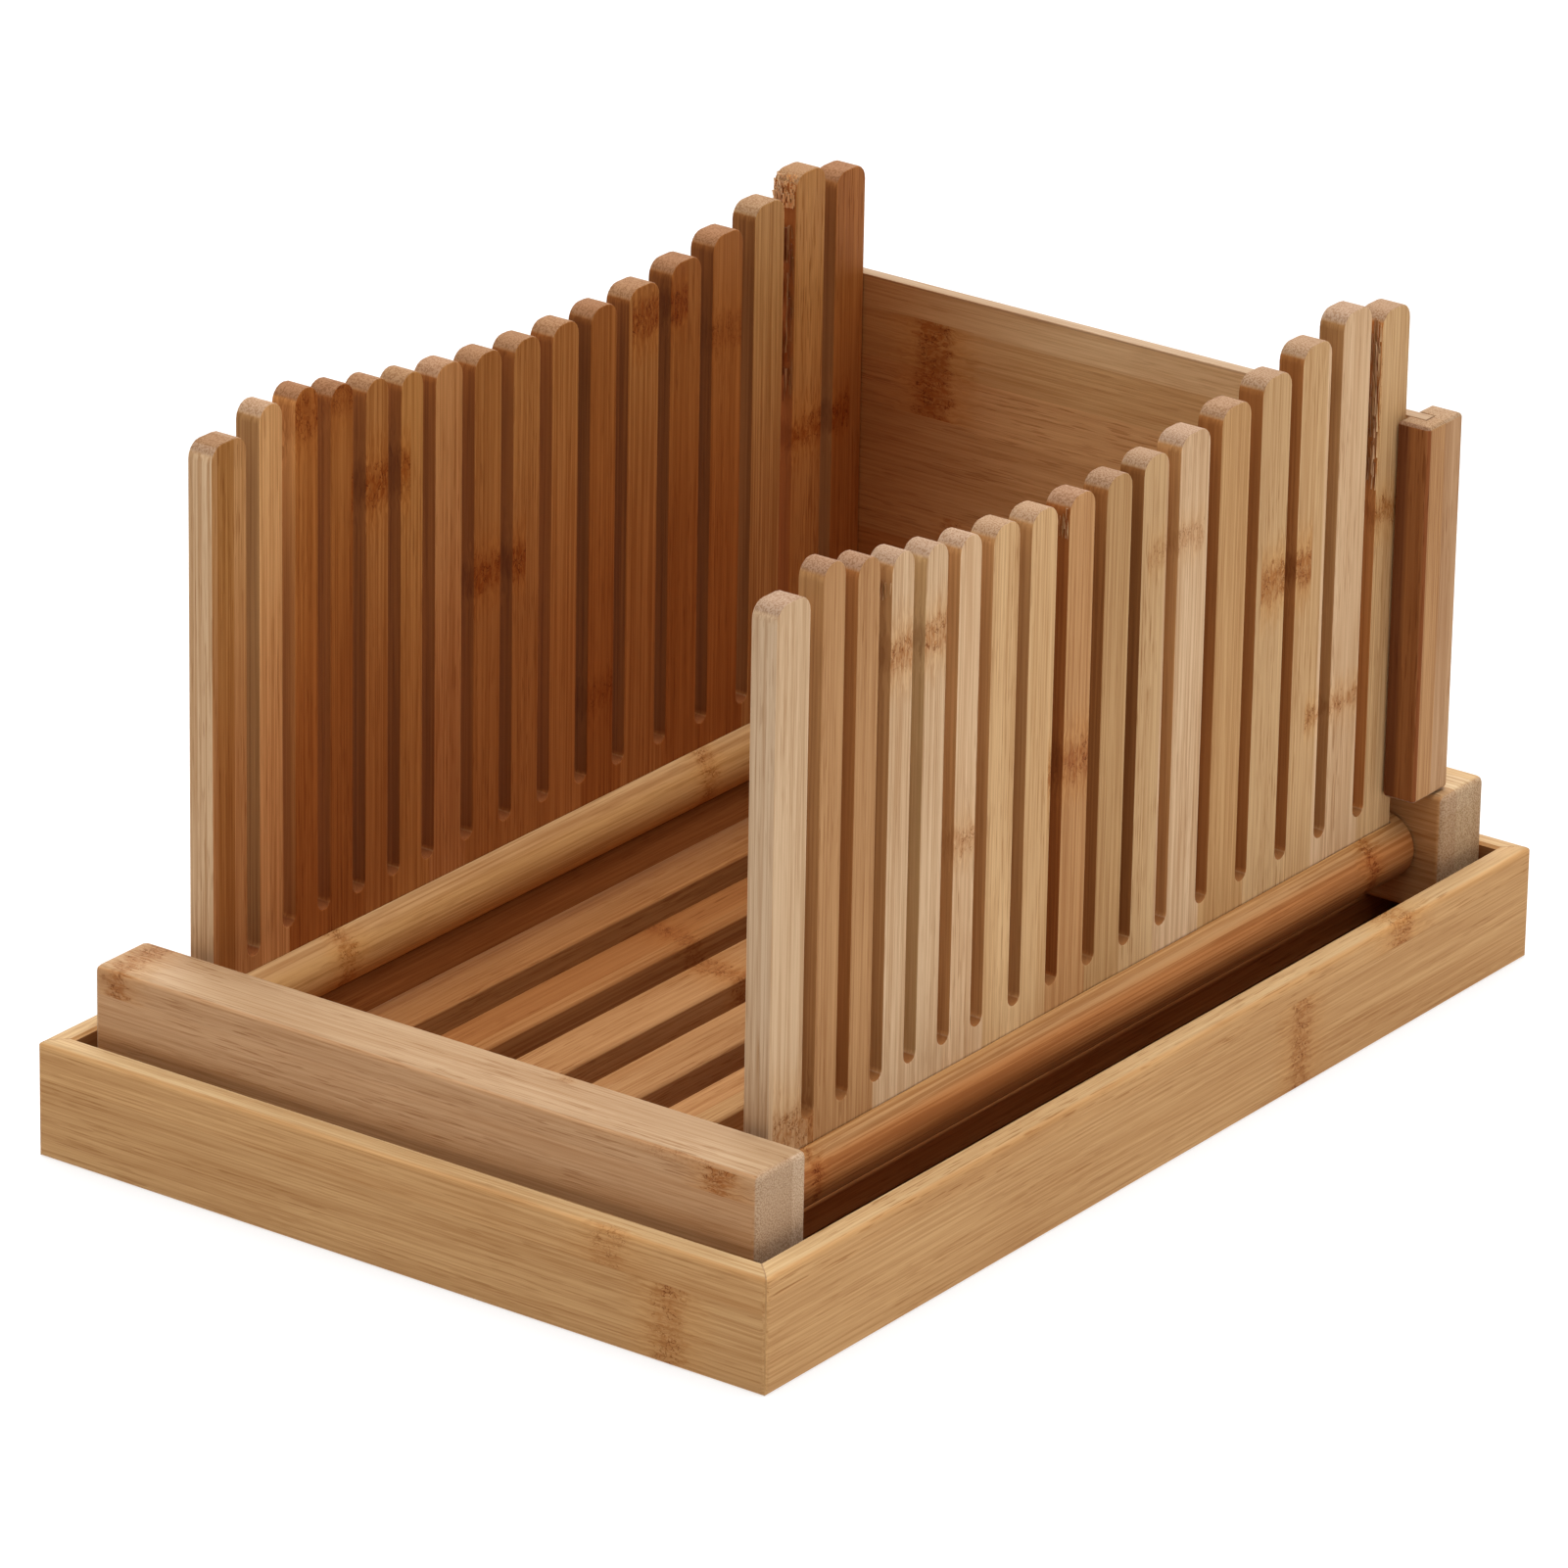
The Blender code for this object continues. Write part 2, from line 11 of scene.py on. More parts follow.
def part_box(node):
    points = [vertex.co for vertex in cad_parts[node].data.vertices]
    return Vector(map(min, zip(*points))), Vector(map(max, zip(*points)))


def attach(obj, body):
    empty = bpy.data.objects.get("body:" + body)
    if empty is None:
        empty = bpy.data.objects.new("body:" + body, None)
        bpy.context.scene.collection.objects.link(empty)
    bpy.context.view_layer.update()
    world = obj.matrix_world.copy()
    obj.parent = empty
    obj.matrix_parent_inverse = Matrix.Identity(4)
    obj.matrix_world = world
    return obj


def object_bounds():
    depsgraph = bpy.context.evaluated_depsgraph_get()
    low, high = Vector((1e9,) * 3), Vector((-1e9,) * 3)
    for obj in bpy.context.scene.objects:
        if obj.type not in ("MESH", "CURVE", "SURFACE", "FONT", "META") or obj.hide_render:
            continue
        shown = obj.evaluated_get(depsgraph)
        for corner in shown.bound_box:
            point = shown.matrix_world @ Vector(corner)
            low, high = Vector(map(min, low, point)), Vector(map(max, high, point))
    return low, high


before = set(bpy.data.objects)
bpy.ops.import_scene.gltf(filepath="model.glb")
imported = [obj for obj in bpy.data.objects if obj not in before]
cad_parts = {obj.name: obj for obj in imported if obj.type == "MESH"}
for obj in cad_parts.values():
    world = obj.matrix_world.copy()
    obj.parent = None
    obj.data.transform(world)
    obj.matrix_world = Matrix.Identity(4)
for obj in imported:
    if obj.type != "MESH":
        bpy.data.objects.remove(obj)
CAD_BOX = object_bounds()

bl_info = {
    "name": "Bread Slicing Guide",
    "version": (1, 0, 0),
    "blender": (4, 5, 0),
    "location": "3D View > Sidebar > Bread Guide",
    "description": "Finishes a fold-flat bamboo bread slicing guide in its crumb tray",
    "category": "Object",
}

MM = 1000.0  # the grain is worked out in millimetres
X, Y, Z = 0, 1, 2

# studio
SCREEN_WAY = (-0.55, 0.77, 0.33)  # towards the white screen behind the object
FLOOR_GAP = 0.0001  # from the floor up to the object
PAPER = {
    "Base Color": (0.35, 0.35, 0.35, 1.0),
    "Roughness": 1.0,
    "Emission Color": (1.0, 1.0, 1.0, 1.0),
    "Emission Strength": 0.66,
}
SOFT_BOX_SIZE = (1.4, 0.9)
SOFT_BOX_PLACE = (1.75, -0.25, 0.62)
SOFT_BOX_AIM = (0.0, 0.0, 0.08)
SENSOR_WIDTH = 36.0  # millimetres
CAMERA_REACH = (0.05, 60.0)  # nearest and farthest that the camera sees

# edges
SHARP_BEND = math.radians(38.0)  # a sharper bend is an edge
WELD_GAP = 0.00001
FLAT_BEND = math.radians(0.5)  # faces that bend less are one face
RIM_STEPS = 6  # steps in the rounding of the tray's rim

# torn fibres
FIBRE_RINGS = 5
FIBRE_TAPER = 0.75  # share of its width that a fibre loses towards its tip
FIBRE_SHORTEST = 0.35  # share of the longest fibre
FIBRE_SWAY = 0.06  # share of its length that a fibre strays sideways
FIBRE_LEAST_LEAN = 0.2  # share of its patch's lean
FIBRE_WIDTHS = (0.35, 0.75)  # millimetres
ODD_WAY = Vector((0.31, 0.52, 0.79))  # a direction that no fibre lies along

# how the finishes are worked out; a pair says where a step starts and ends
REACH_PAST = 1.0  # millimetres that the strips reach past a piece
FACING = (0.72, 0.93)  # turn towards an axis at which a face counts as facing it
SHOWS_ENDS = (0.35, 0.62)  # the same turn towards the grain, for end grain
HIDES_ENDS = (0.80, 0.95)  # for mitred boards and torn fibres, which show none
KNUCKLE_FADES = ((0.3, 1.3), (0.6, 3.2))  # of a knuckle and its halo, as shares of its reach
SLOT_FLOOR_TOPS = (56.0, 66.0)  # the slots' floors lie lower than this height
SLOT_FLOOR_TURN = (0.1, 0.3)  # turn towards the top of a slot's floor
WALL_ENDS = (3.0, 2.5)  # distance from a comb wall's ends, which aren't sawn as the slots are
SAWN_PALER = (75.0, 165.0)  # heights between which the slots' sides are painted paler, so painted shade deepens lower down
END_REACH = (-200.0, 200.0)  # places that the tones of the sawn ends cover
PALE_REACH = 1.0  # reach of a painted highlight on a slot side across the wall
BUMP_STRENGTH = 0.5
BUMP_DEPTH = 0.00012

# tints that all the pieces share; a pair is for dark and pale fibres, or for the end grain and
# the dots in it
FIBRE_TINTS = ((0.80, 0.68, 0.55), (1.15, 1.18, 1.20))
SAWN_FIBRE_TINTS = ((0.80, 0.74, 0.68), (1.14, 1.17, 1.20))
END_TINTS = ((1.02, 1.03, 1.05), (0.74, 0.66, 0.58))
DASH_TINT = (0.62, 0.48, 0.36)
KNUCKLE_HALO_TINT = (0.97, 0.86, 0.69)
KNUCKLE_CLOUD_TINT = (0.72, 0.51, 0.32)
SAWN_KNUCKLE_TINT = (0.64, 0.50, 0.40)
# painted shade in the slots: lifts the slots' sides towards the top, leaving them darker low down
SAWN_PALER_TINT = (1.04, 1.10, 1.17)
# painted highlight on the eased edges, partly their sanding wear
EDGE_TINT = (1.15, 1.18, 1.21)
NO_TINT = (1.0, 1.0, 1.0)


# -------- shader expressions


def plug(tree, socket, value):
    """Links a wire to a socket, or sets the socket to a number, a colour or a vector."""
    if isinstance(value, Wire):
        tree.links.new(value.socket, socket)
    elif socket.type == "RGBA" and len(value) == 3:
        socket.default_value = (*value, 1.0)
    else:
        socket.default_value = value


def node(tree, kind, settings=None, inputs=None, output=0):
    """Adds one shader node: its settings first, then its sockets, and returns an output."""
    made = tree.nodes.new(kind)
    for key, value in (settings or {}).items():
        if key == "stops":
            ramp = made.color_ramp
            while len(ramp.elements) < len(value):
                ramp.elements.new(1.0)
            for element, (place, colour) in zip(ramp.elements, value):
                element.position = place
                element.color = (*colour, 1.0)
        elif key == "ramp_steps":
            made.color_ramp.interpolation = value
        else:
            setattr(made, key, value)
    for key, value in (inputs or {}).items():
        plug(tree, made.inputs[key], value)
    return Wire(tree, made.outputs[output])


class Wire:
    """An output socket that can stand in an expression: each sign adds its Math node."""

    def __init__(self, tree, socket):
        self.tree = tree
        self.socket = socket

    def math(self, operation, *values, clamp=False):
        settings = {"operation": operation, "use_clamp": clamp}
        return node(self.tree, "ShaderNodeMath", settings, dict(enumerate(values)))

    def __add__(self, other):
        return self.math("ADD", self, other)

    __radd__ = __add__

    def __sub__(self, other):
        return self.math("SUBTRACT", self, other)

    def __rsub__(self, other):
        return self.math("SUBTRACT", other, self)

    def __mul__(self, other):
        return self.math("MULTIPLY", self, other)

    __rmul__ = __mul__

    def __truediv__(self, other):
        return self.math("DIVIDE", self, other)

    def __rtruediv__(self, other):
        return self.math("DIVIDE", other, self)

    def __abs__(self):
        return self.math("ABSOLUTE", self)

    def highest(self, other):
        return self.math("MAXIMUM", self, other)

    def near(self, centre, reach):
        """1 within reach of centre, and 0 outside."""
        return self.math("COMPARE", self, centre, reach)

    def held(self):
        """The value, kept between 0 and 1."""
        return self.math("ADD", self, 0.0, clamp=True)

    def rise(self, low, high):
        """0 below low, 1 above high, and a smooth step between them."""
        inputs = {"Value": self, "From Min": low, "From Max": high}
        return node(self.tree, "ShaderNodeMapRange", {"interpolation_type": "SMOOTHSTEP"}, inputs)


def vector(tree, operation, *values, output=0):
    """A Vector Math node."""
    settings = {"operation": operation}
    return node(tree, "ShaderNodeVectorMath", settings, dict(enumerate(values)), output)


def part(tree, value, axis):
    """One axis of a vector, as a number."""
    return node(tree, "ShaderNodeSeparateXYZ", inputs={0: value}, output=axis)


def tinted(tree, colour, tint):
    """A colour multiplied by a tint."""
    return vector(tree, "MULTIPLY", colour, tint)


def mixed(tree, amount, colour, other):
    """A colour that turns to the other one where amount is 1."""
    inputs = {0: amount, 6: colour, 7: other}
    return node(tree, "ShaderNodeMix", {"data_type": "RGBA"}, inputs, output=2)


def stained(tree, amount, colour, tint):
    """A colour that takes on a tint where amount is 1."""
    return mixed(tree, amount, colour, tinted(tree, colour, tint))


# -------- how each piece is cut


class Knuckle:
    """A knuckle of the bamboo stem that crosses some of a piece's strips.

    at is its place along the grain and reach half its length there. limits, each of them (axis,
    centre, half width), say where it stays across the grain. All are in millimetres.
    """

    def __init__(self, at, reach, strength, *limits):
        self.at = at
        self.reach = reach
        self.strength = strength
        self.limits = limits


class Cut:
    """How a piece is cut from bamboo, with all places in millimetres.

    grain is the axis along the fibres and across the one that the glued strips lie side by side
    on. strips lists them as (start, tone) or (start, tone, shade), and knuckles the stem's
    knuckles in them. seed sets the draw that gives each strip its own luck.
    sawn lists the tones of the knife slots' cut sides, in the way of strips, slot_floor is the
    tone of the slots' floors, both partly painted shade deep in the slots, and ends lists the
    tones of the sawn ends, along the third axis.
    The tints by facing list the faces whose tone is changed by painted light and shade, and the
    right wall's greyer front face: (axis, side, tint), where side is 1 or -1 along the axis, or
    (axis, side, tint, other tint, (way, start, end)), where the tint turns to the other one, or to
    none, from start to end along the axis way.
    end_turn says how far a face turns towards the grain before it shows end grain.
    pale lists the slot sides with a painted highlight at the top: (place across, height where it
    starts, height where it is full).
    streaks is the strength of the streaks, and shine that of the reflections where it isn't the
    usual one.
    """

    def __init__(self, grain, across, strips, knuckles=(), seed=1, sawn=(), slot_floor="tan",
                 ends=((-200, "end_grain"),), facing_tints=(), end_turn=SHOWS_ENDS, pale=(), streaks=1.0,
                 shine=None):
        self.grain = grain
        self.across = across
        self.strips = strips
        self.knuckles = knuckles
        self.seed = seed
        self.sawn = sawn
        self.slot_floor = slot_floor
        self.ends = ends
        self.facing_tints = facing_tints
        self.end_turn = end_turn
        self.pale = pale
        self.streaks = streaks
        self.shine = shine


RIGHT_WALL = Cut(
    Z, Y,
    ((-138, "cream", 0.95), (-122, "rosy"), (-95, "cream"), (-66, "cream", 1.08),
     (-49, "straw", 1.08), (-22, "tan", 1.08), (-4, "gold", 0.9), (11, "straw", 0.95),
     (26, "cream", 1.03), (46, "gold", 1.02), (67, "straw", 0.97), (85, "straw", 1.02),
     (98, "cream", 1.06), (120, "straw")),
    (
        Knuckle(48.0, 7.0, 0.9, (Y, -127.5, 8.5)),
        Knuckle(160.0, 5.0, 1.0, (Y, -81.0, 13.5)),
        Knuckle(102.0, 3.5, 0.6, (Y, -58.0, 9.5)),
        Knuckle(107.5, 5.5, 1.1, (Y, -13.0, 9.5)),
        Knuckle(152.0, 3.5, 0.5, (Y, 31.5, 12.5)),
        Knuckle(128.0, 5.0, 1.4, (Y, 82.5, 11.5)),
        Knuckle(85.0, 3.0, 0.8, (Y, 106.0, 12.5)),
        Knuckle(132.0, 4.0, 0.9, (Y, 127.0, 6.5)),
        Knuckle(162.0, 18.0, 0.5, (Y, 123.2, 0.9)),
    ),
    seed=3,
    # the slots' side tones and the walnut slot floors are partly painted shade deep in the slots
    sawn=((-138, "sawn_mid", 1.03), (-114, "sawn_deep"), (-100, "sawn_mid"),
          (-86, "sawn_pale", 0.93), (-72, "sawn_mid", 1.12), (-42, "sawn_mid"),
          (-26, "sawn_dark", 1.14), (-10, "sawn_deep", 0.9), (6, "sawn_deep", 0.76),
          (22, "sawn_mid", 1.12), (39, "sawn_deep", 1.03), (94, "sawn_mid"),
          (112, "sawn_deep", 1.3)),
    slot_floor="walnut", ends=((-200, "end_brown"),),
    # painted shade in the trough on the inner face, darker low down; the front face takes a greyer
    # tint
    facing_tints=((X, -1, "loaf_side", "loaf_top", (Z, 90, 175)), (Y, -1, "weathered")),
)
LEFT_WALL = Cut(
    Z, Y,
    ((-138, "cream", 0.95), (-136, "gold", 0.88), (-129.5, "cream"), (-119.5, "cream", 1.15),
     (-108, "amber"), (-93, "amber", 0.92), (-78, "tan"), (-66, "gold", 1.05), (-51, "beige", 1.2),
     (-36, "tan"), (-2, "tan", 1.05), (14, "amber", 0.95), (30, "tan", 1.02), (48, "amber", 0.95),
     (66, "amber"), (84, "straw", 0.95), (103, "gold", 1.08), (119, "amber")),
    (
        Knuckle(185.0, 6.0, 0.9, (Y, -101.0, 8.0)),
        Knuckle(187.0, 6.0, 0.8, (Y, -86.0, 6.0)),
        Knuckle(158.5, 6.0, 1.2, (Y, -70.5, 12.0)),
        Knuckle(120.0, 5.0, 1.2, (Y, -22.5, 12.0)),
        Knuckle(170.5, 5.0, 1.3, (Y, 46.0, 12.0)),
        Knuckle(157.0, 5.0, 0.5, (Y, 73.0, 9.0)),
        Knuckle(119.0, 4.5, 1.1, (Y, 118.0, 13.0)),
        Knuckle(72.0, 5.0, 0.6, (Y, 20.0, 9.0)),
    ),
    seed=11, streaks=1.4,
    # the slots' side tones and the umber slot floors are partly painted shade deep in the slots
    sawn=((-138, "sawn_mid", 0.93), (-114, "sawn_deep", 1.13), (-100, "sawn_dark", 1.12),
          (-86, "sawn_dark"), (-57, "sawn_dark", 1.04), (-26, "sawn_dark", 0.96),
          (-10, "sawn_dark", 1.04), (6, "sawn_dark", 0.82), (22, "sawn_dark", 0.92),
          (39, "sawn_dark", 0.85), (76, "sawn_deep", 0.84), (94, "sawn_dark", 1.38),
          (112, "sawn_deep", 0.92)),
    # painted highlight at the top of one slot side near the front
    slot_floor="umber", ends=((-200, "end_russet"),), pale=((-104.9, 132.0, 178.0),),
    # painted shade in the trough on the inner face, darker low down
    facing_tints=((X, 1, "loaf_side", "loaf_top", (Z, 90, 175)),),
)
FRONT_BAR = Cut(
    X, Z,
    ((17, "beige", 1.07), (33, "beige", 1.05), (44.2, "beige")),
    (
        Knuckle(-95.5, 3.8, 0.9, (Z, 48.5, 4.6)),
        Knuckle(91.0, 4.6, 1.1, (Z, 46.6, 3.4)),
        Knuckle(80.0, 15.0, 0.3, (Z, 49.6, 1.4)),
        Knuckle(32.0, 2.0, 0.4, (Z, 51.0, 1.5), (Y, -141.5, 2.5)),
    ),
    seed=5, streaks=0.8, ends=((-200, "end_beige"), (-146.5, "end_pale")),
    # painted sheen on the top, and painted warm bounce light low on the front by the tray's rim
    facing_tints=((Z, 1, "bar_top"), (Y, -1, "rim_glow", None, (Z, 28, 38))),
)
REAR_BAR = Cut(
    X, Y,
    ((140, "tan"), (148, "straw"), (156, "gold")),
    (Knuckle(-40.0, 4.5, 0.8, (Y, 152.0, 4.0)), Knuckle(62.0, 4.5, 0.7, (Y, 159.0, 3.0))),
    seed=6, ends=((-200, "end_grain"), (38, "end_grain", 0.95), (45, "end_beige", 0.88)),
    # painted sheen on the top
    facing_tints=((Z, 1, "bleached"),),
)
TRAY_FRONT = Cut(
    X, Z,
    ((0, "gold", 0.95), (21.0, "gold")),
    (Knuckle(65.5, 5.8, 0.45, (Z, 26.0, 5.2)), Knuckle(84.0, 5.5, 0.65, (Z, 10.0, 11.0))),
    seed=7, streaks=0.75, end_turn=HIDES_ENDS,
    # painted sheen on the rim's top and painted shade on the inner face
    facing_tints=((Z, 1, "bleached"), (Y, 1, "tray_inside")),
)
TRAY_RIGHT = Cut(
    Y, Z,
    ((0, "gold", 1.05), (24.5, "gold", 1.1)),
    (Knuckle(61.0, 4.8, 0.7, (Z, 12.0, 12.5)), Knuckle(107.5, 6.0, 0.8, (Z, 28.5, 4.2))),
    seed=8, streaks=0.75, end_turn=HIDES_ENDS,
    # painted sheen on the rim's top and painted shade on the inner face
    facing_tints=((Z, 1, "bleached"), (X, -1, "tray_inside")),
)
TRAY_REAR = Cut(
    X, Z,
    ((0, "tan"), (18.0, "gold")),
    (Knuckle(-34.0, 5.0, 0.8, (Z, 9.0, 9.2)), Knuckle(48.0, 5.0, 0.7, (Z, 25.0, 7.2))),
    seed=9, streaks=0.75, end_turn=HIDES_ENDS,
    # painted sheen on the rim's top and painted shade on the inner face
    facing_tints=((Z, 1, "bleached"), (Y, -1, "tray_inside")),
)
TRAY_LEFT = Cut(
    Y, Z,
    ((0, "straw"), (16.0, "gold")),
    (Knuckle(-72.0, 5.0, 0.8, (Z, 8.0, 8.2)), Knuckle(38.0, 5.0, 0.9, (Z, 24.0, 8.2))),
    seed=10, streaks=0.75, end_turn=HIDES_ENDS,
    # painted sheen on the rim's top and painted shade on the inner face
    facing_tints=((Z, 1, "bleached"), (X, 1, "tray_inside")),
)
TRAY_FLOOR = Cut(
    Y, X,
    # painted shadow of the left rod on the darkened first strip; the floor's dark tones are partly
    # painted shade under the slats
    ((-110, "umber", 0.8), (-84, "walnut"), (-55, "umber"), (-30, "walnut"), (-2, "umber"),
     (22, "walnut"), (51, "umber"), (80, "walnut")),
    (Knuckle(-60.0, 5.0, 0.7, (X, -42.0, 12.0)), Knuckle(44.0, 5.0, 0.7, (X, 36.0, 14.0))),
    seed=12, shine=0.0,
)
BACK_PANEL = Cut(
    X, Z,
    ((17, "tan"), (52, "amber"), (84, "tan"), (118, "tan", 1.04), (133, "gold"), (146, "straw"),
     (154.8, "beige", 0.87)),
    (
        Knuckle(-59.0, 6.0, 1.4, (Z, 133.5, 13.5)),
        Knuckle(-52.0, 3.0, 0.6, (Z, 88.0, 5.0)),
        Knuckle(44.0, 6.0, 0.9, (Z, 101.0, 16.0)),
    ),
    seed=13, streaks=0.55,
    # painted sheen on the top; painted shade on the front face by the left wall, turning to
    # painted light past the middle
    facing_tints=((Z, 1, "bleached"), (Y, -1, "panel_dark", "panel_pale", (X, -88, 0))),
)
# the slats from left to right: (strips, knuckles), with the strips' starts from the slat's side
SLATS = (
    # slat 1's walnut strip by the left rod is painted shadow of the rod, and the first two slats'
    # darker tones are partly painted shade
    (((0, "walnut"), (5, "amber", 0.88)), ()),
    (((0, "walnut", 1.05), (11, "amber", 0.82)), (Knuckle(8.0, 4.0, 0.6, (X, -48.0, 9.0)),)),
    (((0, "tan", 0.87),), (Knuckle(-3.0, 4.5, 0.8, (X, -24.0, 9.0)),)),
    (((0, "tan", 0.84), (4, "tan", 0.8)), (Knuckle(70.0, 4.0, 0.7, (X, 0.0, 9.0)),)),
    (((0, "tan", 0.9), (9, "gold", 0.8)), ()),
    (((0, "gold", 1.06),), (Knuckle(-40.0, 4.0, 0.7, (X, 48.0, 9.0)),)),
    (((0, "amber", 0.9), (7, "russet")), ()),
)
LEFT_ROD = Cut(
    Y, X,
    ((-96, "gold"),),
    (Knuckle(-89.5, 3.6, 0.7), Knuckle(64.0, 3.6, 0.6)),
    # painted light on the side towards the trough and painted sheen on the top
    seed=31, streaks=0.9, facing_tints=((X, 1, "rubbed"), (Z, 1, "rod_top")),
)
RIGHT_ROD = Cut(
    Y, X,
    ((76, "tan", 0.93),),
    (Knuckle(121.0, 2.6, 0.9), Knuckle(-123.5, 2.0, 0.7)),
    # painted shade on the outer side and painted sheen on the top
    seed=32, streaks=1.6, facing_tints=((X, 1, "oiled"), (Z, 1, "rubbed")),
)
LEFT_CLEAT = Cut(Z, Y, ((130, "umber"), (133, "russet"), (139, "rosy")), seed=51)
RIGHT_CLEAT = Cut(
    Z, Y,
    # painted shade by the wall: the umber strip at the front lip, with the lip tints below
    ((130, "umber"), (132.4, "rosy"), (139, "beige")),
    seed=52, ends=((-200, "end_grain", 0.85),),
    facing_tints=((Y, -1, "lip_dark", "lip_pale", (X, 92.8, 94.6)),),
)
GLUE_LINE = Cut(Z, Y, ((-170, "gold"),), seed=61)

# torn fibres: (piece, wall, cut, patches), each patch (count, lowest corner, highest corner,
# longest, lean) in millimetres
SPLINTERS = (
    (
        "right_wall_splinters", "right_wall",
        Cut(Z, X, ((84, "beige", 0.8), (85.2, "straw", 0.9), (86.0, "walnut"),
                   (86.8, "beige", 0.95), (87.5, "tan", 0.8), (88.2, "beige"), (88.8, "umber"),
                   (89.1, "straw")), seed=71, end_turn=HIDES_ENDS),
        (
            (9, (85.6, -91.3, 174.0), (89.3, -90.8, 180.0), 5.0, (0.05, -0.20, 0.0)),
            (12, (85.6, -16.5, 166.0), (89.3, -16.0, 176.0), 6.0, (0.05, -0.22, 0.0)),
            (110, (84.4, 122.5, 139.0), (89.4, 123.2, 186.0), 9.0, (0.02, -0.08, 0.0)),
        ),
    ),
    (
        "left_wall_torn_line", "left_wall",
        Cut(Z, X, ((-90, "walnut"), (-86.0, "russet"), (-85.2, "umber"), (-84.4, "tan"),
                   (-83.6, "umber"), (-82.8, "walnut")), seed=72, end_turn=HIDES_ENDS),
        ((50, (-86.0, 104.5, 128.0), (-82.1, 105.0, 178.0), 10.0, (0.02, -0.06, 0.0)),),
    ),
    (
        "left_wall_torn_top", "left_wall",
        Cut(Z, X, ((-90, "cream", 1.35), (-86.0, "straw", 1.55)), seed=73, end_turn=HIDES_ENDS),
        (
            (90, (-89.3, 104.5, 182.0), (-82.3, 105.1, 187.6), 2.4, (0.20, -0.20, 0.0)),
            (90, (-89.3, 104.8, 186.0), (-82.3, 105.9, 189.4), 1.8, (0.30, -0.30, 0.1)),
            (80, (-89.2, 105.6, 188.6), (-82.6, 107.2, 191.0), 1.6, (0.40, -0.40, 0.2)),
        ),
    ),
)


# -------- sizes and colours


def colour(name, description, default, most=1.0):
    """A colour that the sidebar shows."""
    return FloatVectorProperty(
        name=name, description=description, default=default, min=0.0, max=most, subtype="COLOR",
        size=3,
    )


def tint(name, description, default):
    """A tint that multiplies a colour; a channel over 1 makes it paler."""
    return colour(name, description, default, most=2.0)


def length(name, description, default):
    """A length in metres that the sidebar shows."""
    return FloatProperty(
        name=name, description=description, default=default, min=0.0, unit="LENGTH",
        subtype="DISTANCE", precision=5,
    )


def angle(name, description, degrees):
    """An angle that the sidebar shows, given in degrees."""
    return FloatProperty(
        name=name, description=description, default=math.radians(degrees), subtype="ANGLE",
        unit="ROTATION",
    )


def strength(name, description, default):
    """A strength of light that the sidebar shows."""
    return FloatProperty(name=name, description=description, default=default, min=0.0)


def share(name, description, default):
    """A share from 0 to 1 that the sidebar shows."""
    return FloatProperty(
        name=name, description=description, default=default, min=0.0, max=1.0, subtype="FACTOR"
    )


